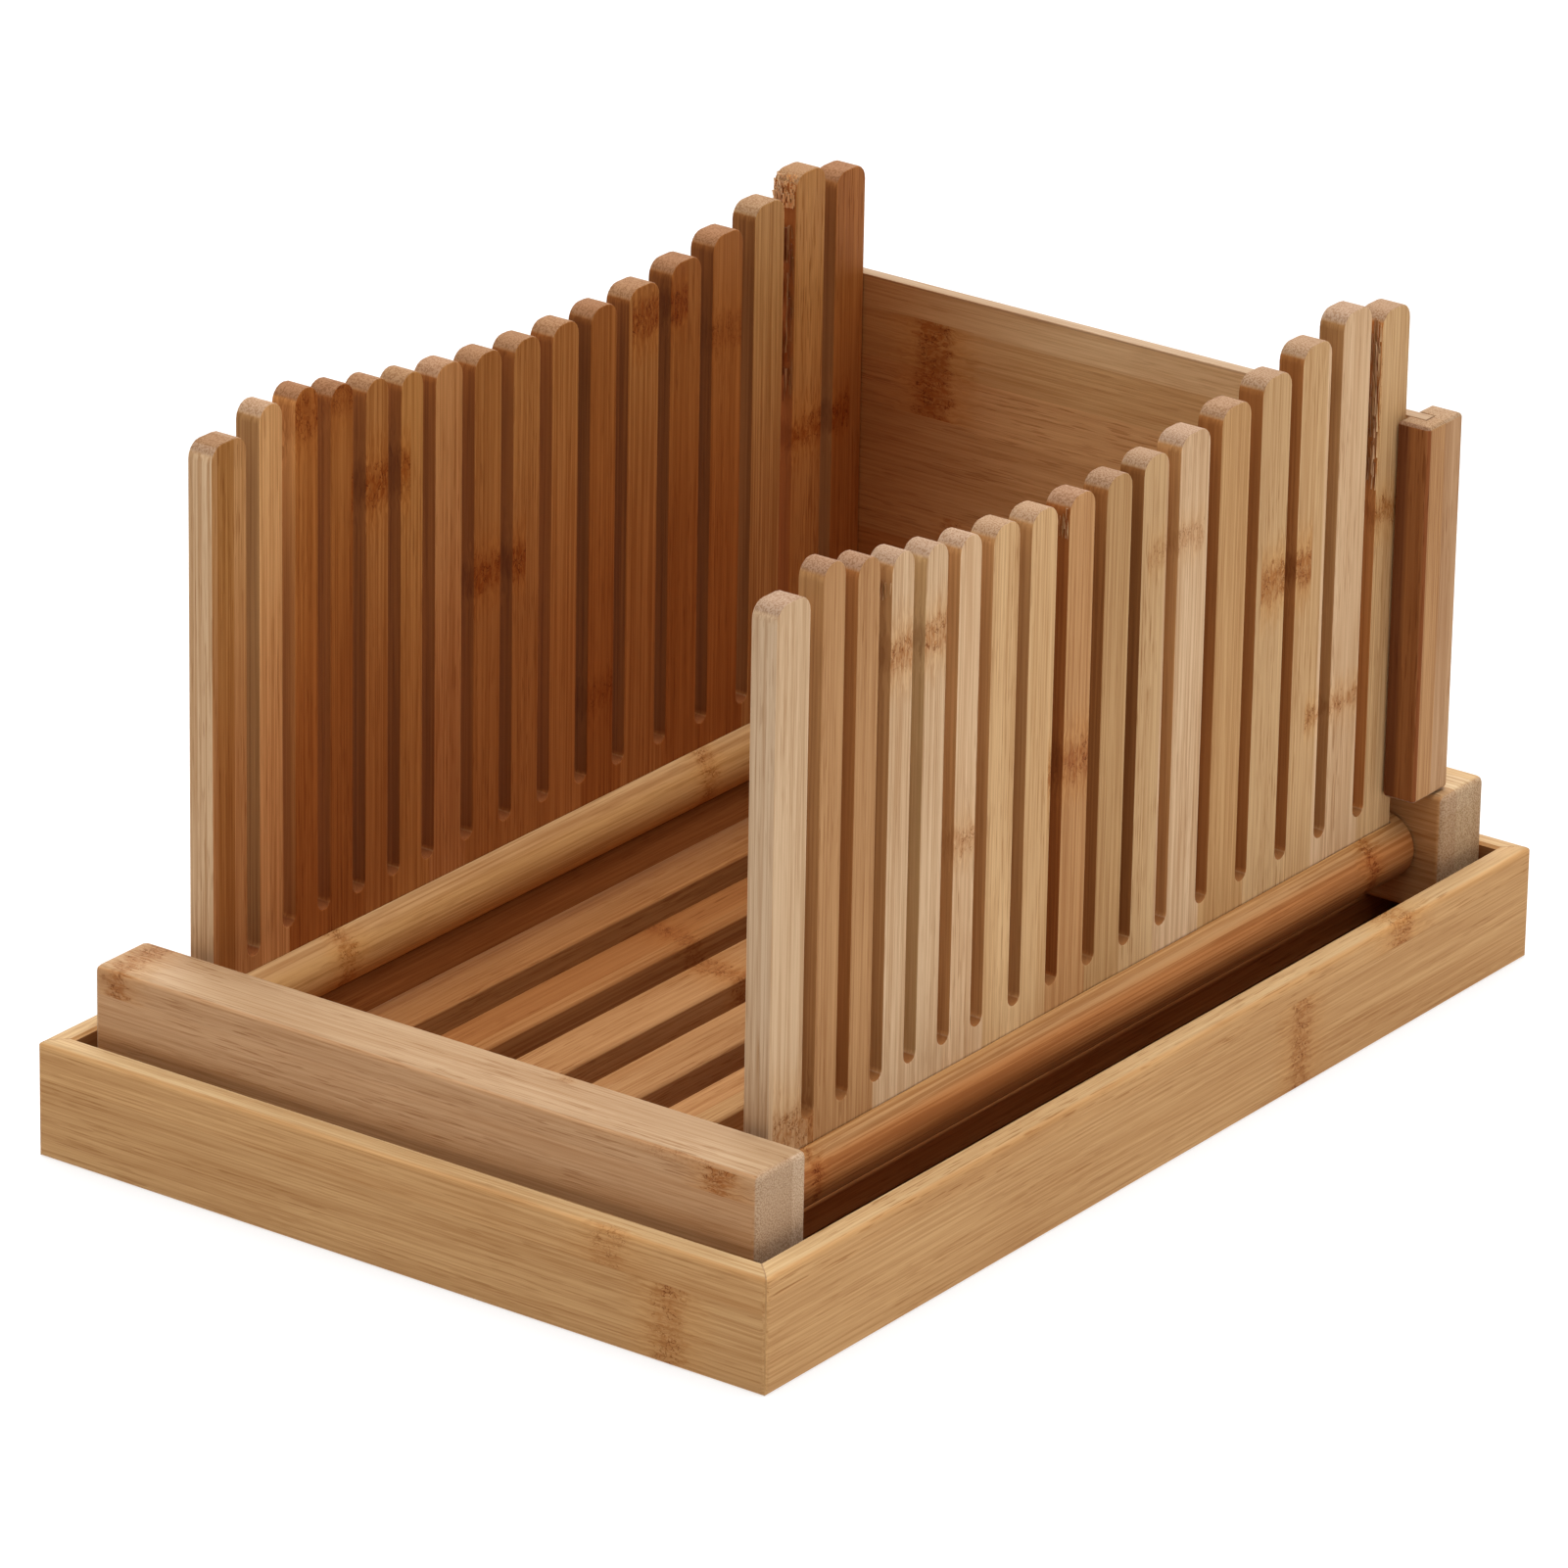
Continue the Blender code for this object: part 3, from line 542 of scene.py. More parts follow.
class BambooColours(bpy.types.PropertyGroup):
    """Colours of the bamboo strips and of the marks in them."""

    cream: colour("Cream", "Palest strips of the comb walls", (0.620, 0.412, 0.242))
    straw: colour("Straw", "Light yellow strips", (0.580, 0.360, 0.175))
    gold: colour("Gold", "Golden strips of the tray and the slats", (0.512, 0.288, 0.120))
    tan: colour("Tan", "Middle brown strips", (0.470, 0.242, 0.097))
    rosy: colour("Rosy", "Pinkish strips of a tooth and the cleats", (0.465, 0.242, 0.100))
    beige: colour("Beige", "Greyish strips, as in the front bar", (0.480, 0.275, 0.140))
    amber: colour("Amber", "Orange strips", (0.440, 0.197, 0.066))
    russet: colour("Russet", "Reddish strips", (0.395, 0.160, 0.048))
    walnut: colour("Walnut", "Brown strips, as in the tray's floor", (0.325, 0.132, 0.040))
    umber: colour("Umber", "Darkest strips", (0.250, 0.075, 0.019))
    knuckle: tint("Knuckle", "Tint of the curls in the stem's knuckles", (0.46, 0.30, 0.18))
    # painted shade in the trough on the comb walls' inner faces, lifting towards the top
    loaf_side: tint("Trough shade", "Tint, low down, of the faces by the loaf", (0.79, 0.54, 0.34))
    loaf_top: tint("Trough shade top", "Tint of the same faces high up", (0.99, 0.82, 0.58))
    # painted light on the rods' sides and tops
    rubbed: tint("Painted lighter", "Tint of the rods where they are rubbed", (1.10, 1.10, 1.00))
    # painted shade on the right rod's outer side
    oiled: tint("Rod side shade", "Tint of the right rod's outer side", (1.00, 0.75, 0.56))
    # painted sheen on top faces
    bleached: tint("Top sheen", "Tint of the top faces, paler from light", (1.02, 1.22, 1.50))
    # painted sheen on the front bar's top
    bar_top: tint("Bar top", "Tint of the front bar's top, paler from light", (0.94, 1.09, 1.25))
    # painted shade inside the tray
    tray_inside: tint("Tray inside", "Tint of the tray's inner faces", (0.62, 0.50, 0.42))
    # painted shade and light across the back panel's front face
    panel_dark: tint("Panel dark", "Tint of the back panel by the left wall", (0.72, 0.50, 0.33))
    panel_pale: tint("Panel pale", "Tint of the same face past the middle", (1.28, 1.42, 1.55))
    # painted shade on the right cleat's front by the wall, lighter away from it
    lip_dark: tint("Lip dark", "Tint of the right cleat's front by the wall", (0.60, 0.62, 0.72))
    lip_pale: tint("Lip pale", "Tint of the same face away from the wall", (1.08, 1.32, 1.50))
    # painted warm bounce light on the front bar by the tray's rim
    rim_glow: tint("Rim glow", "Tint of the front bar by the tray's rim", (1.22, 1.15, 1.03))
    # painted highlight at the top of one slot side
    slot_side_painted_highlight: tint("Side highlight", "Tint at the top of the palest slot sides", (1.55, 1.80, 2.00))
    # painted sheen on the left rod's top
    rod_top: tint("Rod top", "Tint of the left rod's upper side", (1.12, 1.24, 1.42))
    # a greyer tint on the right wall's front face
    weathered: tint("Front end tint", "Tint of the right wall's greyed front end", (0.89, 0.91, 0.96))
    # the slots' side tones below are partly painted shade deep in the slots
    sawn_pale: colour("Sawn pale", "Palest sides of the knife slots", (0.520, 0.300, 0.125))
    sawn_mid: colour("Sawn middle", "Middle sides of the knife slots", (0.420, 0.200, 0.070))
    sawn_deep: colour("Sawn deep", "Brown sides of the knife slots", (0.350, 0.130, 0.034))
    sawn_dark: colour("Sawn dark", "Darkest sides of the knife slots", (0.275, 0.085, 0.018))
    end_grain: colour("End grain", "Sawn ends of the fibres", (0.450, 0.325, 0.210))
    end_brown: colour("End brown", "Sawn ends of the right wall's teeth", (0.275, 0.175, 0.135))
    end_russet: colour("End russet", "Sawn ends of the left wall's teeth", (0.255, 0.134, 0.082))
    end_beige: colour("End beige", "Sawn ends of the bars", (0.560, 0.420, 0.290))
    end_pale: colour("End pale", "Palest ply in the ends of the bars", (0.700, 0.550, 0.400))


class BambooGrain(bpy.types.PropertyGroup):
    """Sizes of the grain and of the eased edges."""

    fibre_width: length("Fibre width", "Width of the finest dark fibres", 0.00055)
    fibre_length: length("Fibre length", "Length of the short dark dashes", 0.0110)
    line_width: length("Line width", "Width of the crisp lines along the grain", 0.00075)
    line_length: length("Line length", "Length of the crisp lines along the grain", 0.120)
    streak_width: length("Streak width", "Width of the soft streaks", 0.0024)
    streak_length: length("Streak length", "Length of the soft streaks", 0.150)
    cloud_width: length("Cloud width", "Width of the broad changes of tone", 0.018)
    edge: length("Eased edge", "Width of the sanded edge of a board", 0.00045)
    mitre: length("Mitre edge", "Width of the eased edge along a glued mitre", 0.00006)
    gloss: share("Roughness", "Roughness of the satin surface", 0.62)
    shine: share("Shine", "Strength of the satin surface's reflections", 0.12)


class TrayMitre(bpy.types.PropertyGroup):
    """Sizes of the line of glue in each mitre, which follow the tray boards' section."""

    board: length("Board", "Thickness of a tray board", 0.0068)
    rim_rounding: length("Rim rounding", "Rounding of the rim's outer edge", 0.0026)
    rim_chamfer: length("Rim chamfer", "Chamfer of the rim's inner edge", 0.0008)
    corner_rounding: length("Corner rounding", "Rounding of the tray's outer corners", 0.0020)
    glue_width: length("Glue width", "Thickness of the line of glue", 0.00019)
    glue_recess: length("Glue recess", "How far the glue lies under the surface", 0.00001)


class Studio(bpy.types.PropertyGroup):
    """Floor, light and camera."""

    floor: length("Floor", "Half width of the pale floor", 9.0)
    azimuth: angle("Azimuth", "Turn of the camera round the object", 35.7504)
    elevation: angle("Elevation", "Height of the camera above the horizon", 22.4593)
    roll: angle("Roll", "Tilt of the camera about its own axis", 1.0382)
    distance: length("Distance", "From the camera to the point it looks at", 2.7196594)
    target: FloatVectorProperty(
        name="Target", description="Point that the camera looks at",
        default=(-0.0245552, 0.0246893, 0.0602667), size=3, subtype="XYZ", unit="LENGTH",
    )
    lens: FloatProperty(
        name="Lens", description="Focal length", default=242.439, unit="CAMERA", min=1.0
    )
    horizon: share("Horizon light", "Light of the sky at the horizon", 0.05)
    zenith: strength("Overhead light", "Light of the sky overhead", 3.6)
    screen: strength("Screen light", "Light of the white screen behind the object", 2.0)
    side: FloatProperty(
        name="Side light", description="Power of the soft box on the right", default=2.0, min=0.0,
        unit="POWER",
    )


# -------- bamboo


def tone_of(name):
    """A colour or tint of the sidebar, or no tint where there is no name."""
    return tuple(getattr(bpy.context.scene.bread_guide_colours, name)) if name else NO_TINT


def strip_ramp(tree, place, strips, reach, tones=None):
    """Looks up a colour for the strip that place, in millimetres, lies in.

    The strips are (start, tone) or (start, tone, shade), and tones stand in for their own.
    """
    low, high = reach
    if tones is None:
        tones = []
        for _, name, *shade in strips:
            tones.append(tuple(Vector(tone_of(name)) * (shade[0] if shade else 1.0)))
    stops = [((strip[0] - low) / (high - low), tone) for strip, tone in zip(strips, tones)]
    stops[0] = (0.0, stops[0][1])
    settings = {"stops": stops, "ramp_steps": "CONSTANT"}
    return node(tree, "ShaderNodeValToRGB", settings, {0: (place - low) / (high - low)})


def bamboo(name, cut, low, high):
    """The finish of one piece of bamboo, worked out from its own place in the object.

    low and high are the piece's ends across its strips, in metres.
    """
    grain = bpy.context.scene.bread_guide_grain
    low = low * MM - REACH_PAST
    high = high * MM + REACH_PAST
    reach = (low, high)
    material = bpy.data.materials.new(name)
    material.use_nodes = True
    tree = material.node_tree
    shader = tree.nodes["Principled BSDF"]
    draw = random.Random(cut.seed)

    spot = node(tree, "ShaderNodeTexCoord", output="Object")
    facing = node(tree, "ShaderNodeTexCoord", output="Normal")
    scaled = {0: spot, "Scale": MM}
    place = node(tree, "ShaderNodeVectorMath", {"operation": "SCALE"}, scaled)
    axes = [part(tree, place, axis) for axis in (X, Y, Z)]
    turned = [part(tree, facing, axis) for axis in (X, Y, Z)]
    faces = [abs(turn) for turn in turned]
    along = axes[cut.grain]
    across = axes[cut.across]

    base = strip_ramp(tree, across, cut.strips, reach)
    # each strip has its own luck, from 0 to 1, and takes its grain from another place
    luck = [(draw.random(),) * 3 for _ in cut.strips]
    strip = strip_ramp(tree, across, cut.strips, reach, luck)
    shift = [97.0, 61.0, 43.0]
    shift[cut.grain] = 1900.0
    moved = vector(tree, "MULTIPLY_ADD", strip, tuple(shift), place)

    def fibres(width, long, detail=2.0, colour=False):
        """Noise that is drawn out along the grain; width and long are in millimetres."""
        scale = [1.0 / width] * 3
        scale[cut.grain] = 1.0 / long
        stretched = vector(tree, "MULTIPLY", moved, tuple(scale))
        inputs = {"Vector": stretched, "Scale": 1.0, "Detail": detail, "Roughness": 0.55}
        return node(tree, "ShaderNodeTexNoise", inputs=inputs, output=1 if colour else 0)

    # where the knuckles are: 1 in the middle of a ragged band, fading to 0 along the grain
    band = None
    halo = None
    ragged = (fibres(1.5, 6.0, 3.0) - 0.5) * 11.0
    for knuckle in cut.knuckles:
        away = abs(along + ragged - knuckle.at)
        fade, wide_fade = [[knuckle.reach * end for end in ends] for ends in KNUCKLE_FADES]
        inside = (1.0 - away.rise(*fade)) * knuckle.strength
        around = (1.0 - away.rise(*wide_fade)) * knuckle.strength
        for axis, centre, half in knuckle.limits:
            limit = axes[axis].near(centre, half)
            inside = inside * limit
            around = around * limit
        band = inside if band is None else band.highest(inside)
        halo = around if halo is None else halo.highest(around)
    if halo is not None:
        # the fibres wave beside a knuckle
        wave = vector(tree, "SUBTRACT", fibres(2.4, 5.0, 1.0, colour=True), (0.5, 0.5, 0.5))
        wave = vector(tree, "MULTIPLY", wave, (2.0, 2.0, 2.0))
        moved = vector(tree, "MULTIPLY_ADD", wave, halo, moved)

    hair = fibres(MM * grain.line_width, MM * grain.line_length, 1.5)
    fine = fibres(MM * grain.fibre_width, 24.0, 2.0)
    streak = fibres(MM * grain.streak_width, MM * grain.streak_length, 2.0)
    cloud = fibres(MM * grain.cloud_width, 90.0, 1.0)
    patch = fibres(9.0, 50.0, 1.0)
    dash = fibres(MM * grain.fibre_width, MM * grain.fibre_length, 1.0)
    chance = strip * 1.0  # the luck as a number
    dash = dash.rise(0.57, 0.66) * patch.rise(0.34, 0.60) * (chance * 0.8 + 0.35)
    if halo is not None:
        dash = dash * (1.0 - halo * 0.6)

    # soft tone of the strip, with crisp lines and thin dark threads along the grain
    lines = hair.rise(0.42, 0.58) - 0.5
    thread = 1.0 - abs(streak - 0.5).rise(0.006, 0.026)
    streaky = lines * (1.1 - chance * 0.6) * 0.50 + (streak - 0.5) * 0.7 - thread * 0.22
    light = (streaky * cut.streaks + (fine - 0.5) * 1.2 + (cloud - 0.5) * 0.9 + 0.55).held()
    tone = tinted(tree, base, mixed(tree, light, *FIBRE_TINTS))
    tone = stained(tree, dash * 0.6, tone, DASH_TINT)

    # knuckles: an orange cloud with fine dark curls in it
    marks = None
    if band is not None:
        curl = 1.0 - abs(fibres(1.3, 1.6, 2.0) - 0.5).rise(0.008, 0.045)
        grouped = fibres(2.8, 3.4, 1.0).rise(0.38, 0.62)
        speck = fibres(0.8, 2.4, 2.0).rise(0.42, 0.60)
        marks = (curl * (grouped * 0.8 + 0.2) * (band * 1.5).held()).held()
        tone = stained(tree, (halo * 0.8).held(), tone, KNUCKLE_HALO_TINT)
        cloudy = (band * (speck * 0.6 + 0.35)).held()
        tone = stained(tree, cloudy, tone, KNUCKLE_CLOUD_TINT)
        tone = stained(tree, marks * 0.9, tone, tone_of("knuckle"))

    # sawn ends of the fibres: greyish, with a dot for each bundle
    ends = faces[cut.grain].rise(*cut.end_turn)
    dots = fibres(0.42, 6.0, 1.0).rise(0.44, 0.60)
    third = axes[3 - cut.grain - cut.across]
    end_tone = mixed(tree, 0.55, base, strip_ramp(tree, third, cut.ends, END_REACH))
    end_tone = tinted(tree, end_tone, mixed(tree, dots, *END_TINTS))

    rough = grain.gloss + dash * 0.14 + (fine - 0.5) * 0.20 + ends * 0.16
    height = (fine - 0.5) * 0.5 + lines * 0.12 - thread * 0.15 - dash * 0.35 - dots * ends * 0.4
    if marks is not None:
        height = height - marks * 0.5
        rough = rough + marks * 0.12
    fresh = 1.0 - ends
    if cut.sawn:
        # the knife slots' sides keep the saw's rougher face, and their floors are end grain; the
        # darker tones of both are partly painted shade deep in the slots
        deep = (1.0 - axes[Z].rise(*SLOT_FLOOR_TOPS)) * turned[Z].rise(*SLOT_FLOOR_TURN)
        end_tone = mixed(tree, deep, end_tone, tone_of(cut.slot_floor))
        middle, half = (low + high) / 2, (high - low) / 2
        inner = 1.0 - abs(across - middle).rise(*(half - margin for margin in WALL_ENDS))
        saw = faces[cut.across].rise(*FACING) * fresh * inner
        sawn_tone = strip_ramp(tree, across, cut.sawn, reach)
        sawn_tone = tinted(tree, sawn_tone, mixed(tree, light, *SAWN_FIBRE_TINTS))
        # painted shade: the slots' sides are darker low down and paler towards the top
        sawn_tone = stained(tree, axes[Z].rise(*SAWN_PALER), sawn_tone, SAWN_PALER_TINT)
        if marks is not None:
            sawn_tone = stained(tree, (band * 0.55).held(), sawn_tone, SAWN_KNUCKLE_TINT)
        # painted highlight along the listed slot sides, growing towards the top
        for centre, start, end in cut.pale:
            bright = across.near(centre, PALE_REACH) * axes[Z].rise(start, end)
            sawn_tone = stained(tree, bright, sawn_tone, tone_of("slot_side_painted_highlight"))
        tone = mixed(tree, saw, tone, sawn_tone)
        fresh = fresh * (1.0 - saw)
        rough = rough + saw * 0.15
        height = height + (fibres(5.0, 0.5, 1.0) - 0.5) * saw * 0.35
    # painted light and shade on whole faces by their facing, and the right wall's greyer front
    # face
    for axis, side, tint_name, *turning in cut.facing_tints:
        shown = (turned[axis] * side).rise(*FACING) * fresh
        change = tone_of(tint_name)
        if turning:
            other_name, (way, start, end) = turning
            change = mixed(tree, axes[way].rise(start, end), change, tone_of(other_name))
        tone = stained(tree, shown, tone, change)
    tone = mixed(tree, ends, tone, end_tone)

    # painted highlight on the eased edges, partly their sanding wear
    flat = faces[X].highest(faces[Y]).highest(faces[Z])
    edge = (1.0 - flat).rise(0.05, 0.24) * (1.0 - ends)
    tone = stained(tree, edge * 0.35, tone, EDGE_TINT)

    bump_inputs = {"Strength": BUMP_STRENGTH, "Distance": BUMP_DEPTH, "Height": height}
    finish = {
        "Base Color": tone,
        "Roughness": rough,
        "Normal": node(tree, "ShaderNodeBump", inputs=bump_inputs),
        "Specular IOR Level": grain.shine if cut.shine is None else cut.shine,
    }
    for key, value in finish.items():
        plug(tree, shader.inputs[key], value)
    return material


def smooth_by_angle():
    """The node group that shades gentle bends smooth and keeps sharp edges sharp."""
    name = "gentle_bends_smooth"
    if name in bpy.data.node_groups:
        return bpy.data.node_groups[name]
    tree = bpy.data.node_groups.new(name, "GeometryNodeTree")
    tree.interface.new_socket("Geometry", in_out="INPUT", socket_type="NodeSocketGeometry")
    tree.interface.new_socket("Geometry", in_out="OUTPUT", socket_type="NodeSocketGeometry")
    start = node(tree, "NodeGroupInput")
    bend = node(tree, "GeometryNodeInputMeshEdgeAngle")
    inputs = {
        "Mesh": start,
        "Remove Custom": True,
        "Edge Sharpness": bend.math("GREATER_THAN", bend, SHARP_BEND),
        "Face Sharpness": False,
    }
    smooth = node(tree, "GeometryNodeSetMeshNormal", {"mode": "SHARPNESS"}, inputs)
    end = tree.nodes.new("NodeGroupOutput")
    plug(tree, end.inputs[0], smooth)
    return tree


def ease(piece, width):
    """Rounds a piece's sharp edges by width and shades its gentle bends smooth."""
    weld = piece.modifiers.new("joined_corners", "WELD")
    weld.merge_threshold = WELD_GAP
    flat = piece.modifiers.new("whole_faces", "DECIMATE")
    flat.decimate_type = "DISSOLVE"
    flat.angle_limit = FLAT_BEND
    bevel = piece.modifiers.new("eased_edges", "BEVEL")
    bevel.width = width
    bevel.segments = 2
    bevel.limit_method = "ANGLE"
    bevel.angle_limit = SHARP_BEND
    smooth = piece.modifiers.new("smooth_bends", "NODES")
    smooth.node_group = smooth_by_angle()
    normals = piece.modifiers.new("even_shade", "WEIGHTED_NORMAL")
    normals.keep_sharp = True


def finish_piece(name, cut, width=None):
    """Gives a CAD piece its eased edges and its own bamboo finish."""
    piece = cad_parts[name]
    low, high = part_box(name)
    finish = bamboo("bamboo_" + name, cut, low[cut.across], high[cut.across])
    for place in piece.material_slots:
        place.link = "OBJECT"
        place.material = finish
    ease(piece, width or bpy.context.scene.bread_guide_grain.edge)


def new_piece(name, points, faces, finish, body):
    """Adds a piece made of points and faces that moves with a body of the object."""
    mesh = bpy.data.meshes.new(name)
    mesh.from_pydata([tuple(point) for point in points], [], faces)
    mesh.update()
    shape = bmesh.new()
    shape.from_mesh(mesh)
    bmesh.ops.recalc_face_normals(shape, faces=shape.faces)
    shape.to_mesh(mesh)
    shape.free()
    mesh.materials.append(finish)
    piece = bpy.data.objects.new(name, mesh)
    bpy.context.scene.collection.objects.link(piece)
    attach(piece, body)
    return piece


def prism(outline, offset):
    """The points and faces of a flat outline thickened by offset on both sides."""
    count = len(outline)
    points = [corner + offset for corner in outline] + [corner - offset for corner in outline]
    faces = [tuple(range(count)), tuple(range(2 * count - 1, count - 1, -1))]
    for here in range(count):
        after = (here + 1) % count
        faces.append((here, here + count, after + count, after))
    return points, faces


def glue_line(name, side, end, sizes, finish):
    """The thin line of glue in one mitre of the tray, shaped like the boards' section."""
    corner = Vector((side * CAD_BOX[1][0], end * CAD_BOX[1][1], 0.0))
    out = Vector((side, end, 0.0))
    inner = corner - out * sizes.board
    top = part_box("tray_front_board")[1].z
    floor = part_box("tray_floor")[1]
    shy = sizes.glue_recess
    past_floor = floor.x - abs(inner.x) + shy
    reach = sizes.board - shy - sizes.corner_rounding * (1.0 - math.sqrt(0.5))
    section = [(past_floor, shy), (reach, shy)]
    for step in range(RIM_STEPS + 1):
        turn = math.radians(90.0 * step / RIM_STEPS)
        inset = sizes.board - sizes.rim_rounding * (1.0 - math.cos(turn)) - shy
        height = top - sizes.rim_rounding * (1.0 - math.sin(turn)) - shy
        section.append((min(inset, reach), height))
    over_floor = floor.z + sizes.glue_width
    section += [
        (sizes.rim_chamfer, top - shy),
        (shy, top - sizes.rim_chamfer - shy),
        (shy, over_floor),
        (past_floor, over_floor),
    ]
    outline = [inner + out * inset + Vector((0.0, 0.0, height)) for inset, height in section]
    across = Vector((side, -end, 0.0)).normalized() * sizes.glue_width / 2
    points, faces = prism(outline, across)
    return new_piece(name, points, faces, finish, "tray")


def sliver(points, faces, root, way, bend, width):
    """Adds one torn fibre: a thin three-sided strand that bends and thins to a point."""
    side = way.cross(ODD_WAY).normalized()
    other = way.cross(side).normalized()
    first = len(points)
    for ring in range(FIBRE_RINGS):
        share_out = ring / FIBRE_RINGS
        middle = root + way * share_out + bend * share_out * share_out
        half = width * (1.0 - share_out * FIBRE_TAPER) / 2
        for corner in range(3):
            turn = math.radians(120.0 * corner)
            points.append(middle + (side * math.cos(turn) + other * math.sin(turn)) * half)
    points.append(root + way + bend)
    tip = len(points) - 1
    faces.append((first + 2, first + 1, first))
    for ring in range(FIBRE_RINGS):
        for corner in range(3):
            here = first + ring * 3 + corner
            after = first + ring * 3 + (corner + 1) % 3
            if ring == FIBRE_RINGS - 1:
                faces.append((here, after, tip))
            else:
                faces.append((here, after, after + 3, here + 3))


def splinters(name, body, patches, finish, seed):
    """Torn fibres where the saw left a knife slot.

    Each patch is (count, lowest corner, highest corner, longest, lean) in millimetres: the fibres'
    roots lie in the box, and they grow up or down the wall and lean out of it.
    """
    draw = random.Random(seed)
    points = []
    faces = []
    for count, low, high, longest, lean in patches:
        for _ in range(count):
            root = Vector([draw.uniform(low[axis], high[axis]) for axis in (X, Y, Z)]) / MM
            size = longest * draw.uniform(FIBRE_SHORTEST, 1.0) / MM
            up = draw.choice((-1.0, 1.0))
            if not low[Z] <= root.z * MM + up * size * MM <= high[Z]:
                up = -up
            sway = [draw.uniform(-FIBRE_SWAY, FIBRE_SWAY) for _ in (X, Y)]
            way = Vector((*sway, up)) * size
            bend = Vector(lean) * draw.uniform(FIBRE_LEAST_LEAN, 1.0) * size
            sliver(points, faces, root, way, bend, draw.uniform(*FIBRE_WIDTHS) / MM)
    return new_piece(name, points, faces, finish, body)


# -------- operators


class BREADGUIDE_OT_tray_boards(bpy.types.Operator):
    """Finishes the four mitred boards of the crumb tray"""

    bl_idname = "bread_guide.tray_boards"
    bl_label = "Tray Boards"

    def execute(self, context):
        boards = {"front": TRAY_FRONT, "right": TRAY_RIGHT, "rear": TRAY_REAR, "left": TRAY_LEFT}
        for side, cut in boards.items():
            finish_piece(f"tray_{side}_board", cut, context.scene.bread_guide_grain.mitre)
        return {"FINISHED"}


class BREADGUIDE_OT_glue_lines(bpy.types.Operator):
    """Makes the lines of glue in the tray's four mitres"""

    bl_idname = "bread_guide.glue_lines"
    bl_label = "Glue Lines"

    def execute(self, context):
        finish = bamboo("glue_line", GLUE_LINE, CAD_BOX[0][Y], CAD_BOX[1][Y])
        for end_name, end in (("front", -1.0), ("rear", 1.0)):
            for side_name, side in (("left", -1.0), ("right", 1.0)):
                name = f"{end_name}_{side_name}_glue_line"
                glue_line(name, side, end, context.scene.bread_guide_mitre, finish)
        return {"FINISHED"}


class BREADGUIDE_OT_tray_floor(bpy.types.Operator):
    """Finishes the floor of the crumb tray"""

    bl_idname = "bread_guide.tray_floor"
    bl_label = "Tray Floor"

    def execute(self, context):
        finish_piece("tray_floor", TRAY_FLOOR)
        return {"FINISHED"}


class BREADGUIDE_OT_bars(bpy.types.Operator):
    """Finishes the front and rear bars of the slicer frame"""

    bl_idname = "bread_guide.bars"
    bl_label = "Bars"

    def execute(self, context):
        finish_piece("front_bar", FRONT_BAR)
        finish_piece("rear_bar", REAR_BAR)
        return {"FINISHED"}


class BREADGUIDE_OT_slats(bpy.types.Operator):
    """Finishes the slats that the loaf lies on"""

    bl_idname = "bread_guide.slats"
    bl_label = "Slats"

    def execute(self, context):
        for number, (plies, knuckles) in enumerate(SLATS, 1):
            name = f"slat_{number}"
            low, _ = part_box(name)
            strips = tuple((low.x * MM + place, *tone) for place, *tone in plies)
            finish_piece(name, Cut(Y, X, strips, knuckles, seed=20 + number))
        return {"FINISHED"}


class BREADGUIDE_OT_rods(bpy.types.Operator):
    """Finishes the two round rods that the comb walls stand in"""

    bl_idname = "bread_guide.rods"
    bl_label = "Rods"

    def execute(self, context):
        finish_piece("left_rod", LEFT_ROD)
        finish_piece("right_rod", RIGHT_ROD)
        return {"FINISHED"}


class BREADGUIDE_OT_pivot_pins(bpy.types.Operator):
    """Finishes the pins that the rods turn on"""

    bl_idname = "bread_guide.pivot_pins"
    bl_label = "Pivot Pins"

    def execute(self, context):
        for seed, side in ((41, "left"), (42, "right")):
            for end in ("front", "rear"):
                name = f"{side}_{end}_pivot_pin"
                low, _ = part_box(name)
                finish_piece(name, Cut(Y, X, ((low.x * MM, "straw"),), seed=seed))
        return {"FINISHED"}


class BREADGUIDE_OT_comb_walls(bpy.types.Operator):
    """Finishes the two comb walls that guide the knife"""

    bl_idname = "bread_guide.comb_walls"
    bl_label = "Comb Walls"

    def execute(self, context):
        finish_piece("left_comb_wall", LEFT_WALL)
        finish_piece("right_comb_wall", RIGHT_WALL)
        return {"FINISHED"}


class BREADGUIDE_OT_splinters(bpy.types.Operator):
    """Makes the torn fibres in the knife slots that the saw left rough"""

    bl_idname = "bread_guide.splinters"
    bl_label = "Splinters"

    def execute(self, context):
        for name, wall, cut, patches in SPLINTERS:
            low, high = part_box(wall.replace("wall", "comb_wall"))
            finish = bamboo("bamboo_" + name, cut, low.x, high.x)
            splinters(name, wall, patches, finish, cut.seed)
        return {"FINISHED"}


class BREADGUIDE_OT_back_panel(bpy.types.Operator):
    """Finishes the panel that the loaf's end rests against"""

    bl_idname = "bread_guide.back_panel"
    bl_label = "Back Panel"

    def execute(self, context):
        finish_piece("back_panel", BACK_PANEL)
        return {"FINISHED"}


class BREADGUIDE_OT_cleats(bpy.types.Operator):
    """Finishes the grooved cleats at the back panel's ends"""

    bl_idname = "bread_guide.cleats"
    bl_label = "Cleats"

    def execute(self, context):
        finish_piece("left_cleat", LEFT_CLEAT)
        finish_piece("right_cleat", RIGHT_CLEAT)
        return {"FINISHED"}


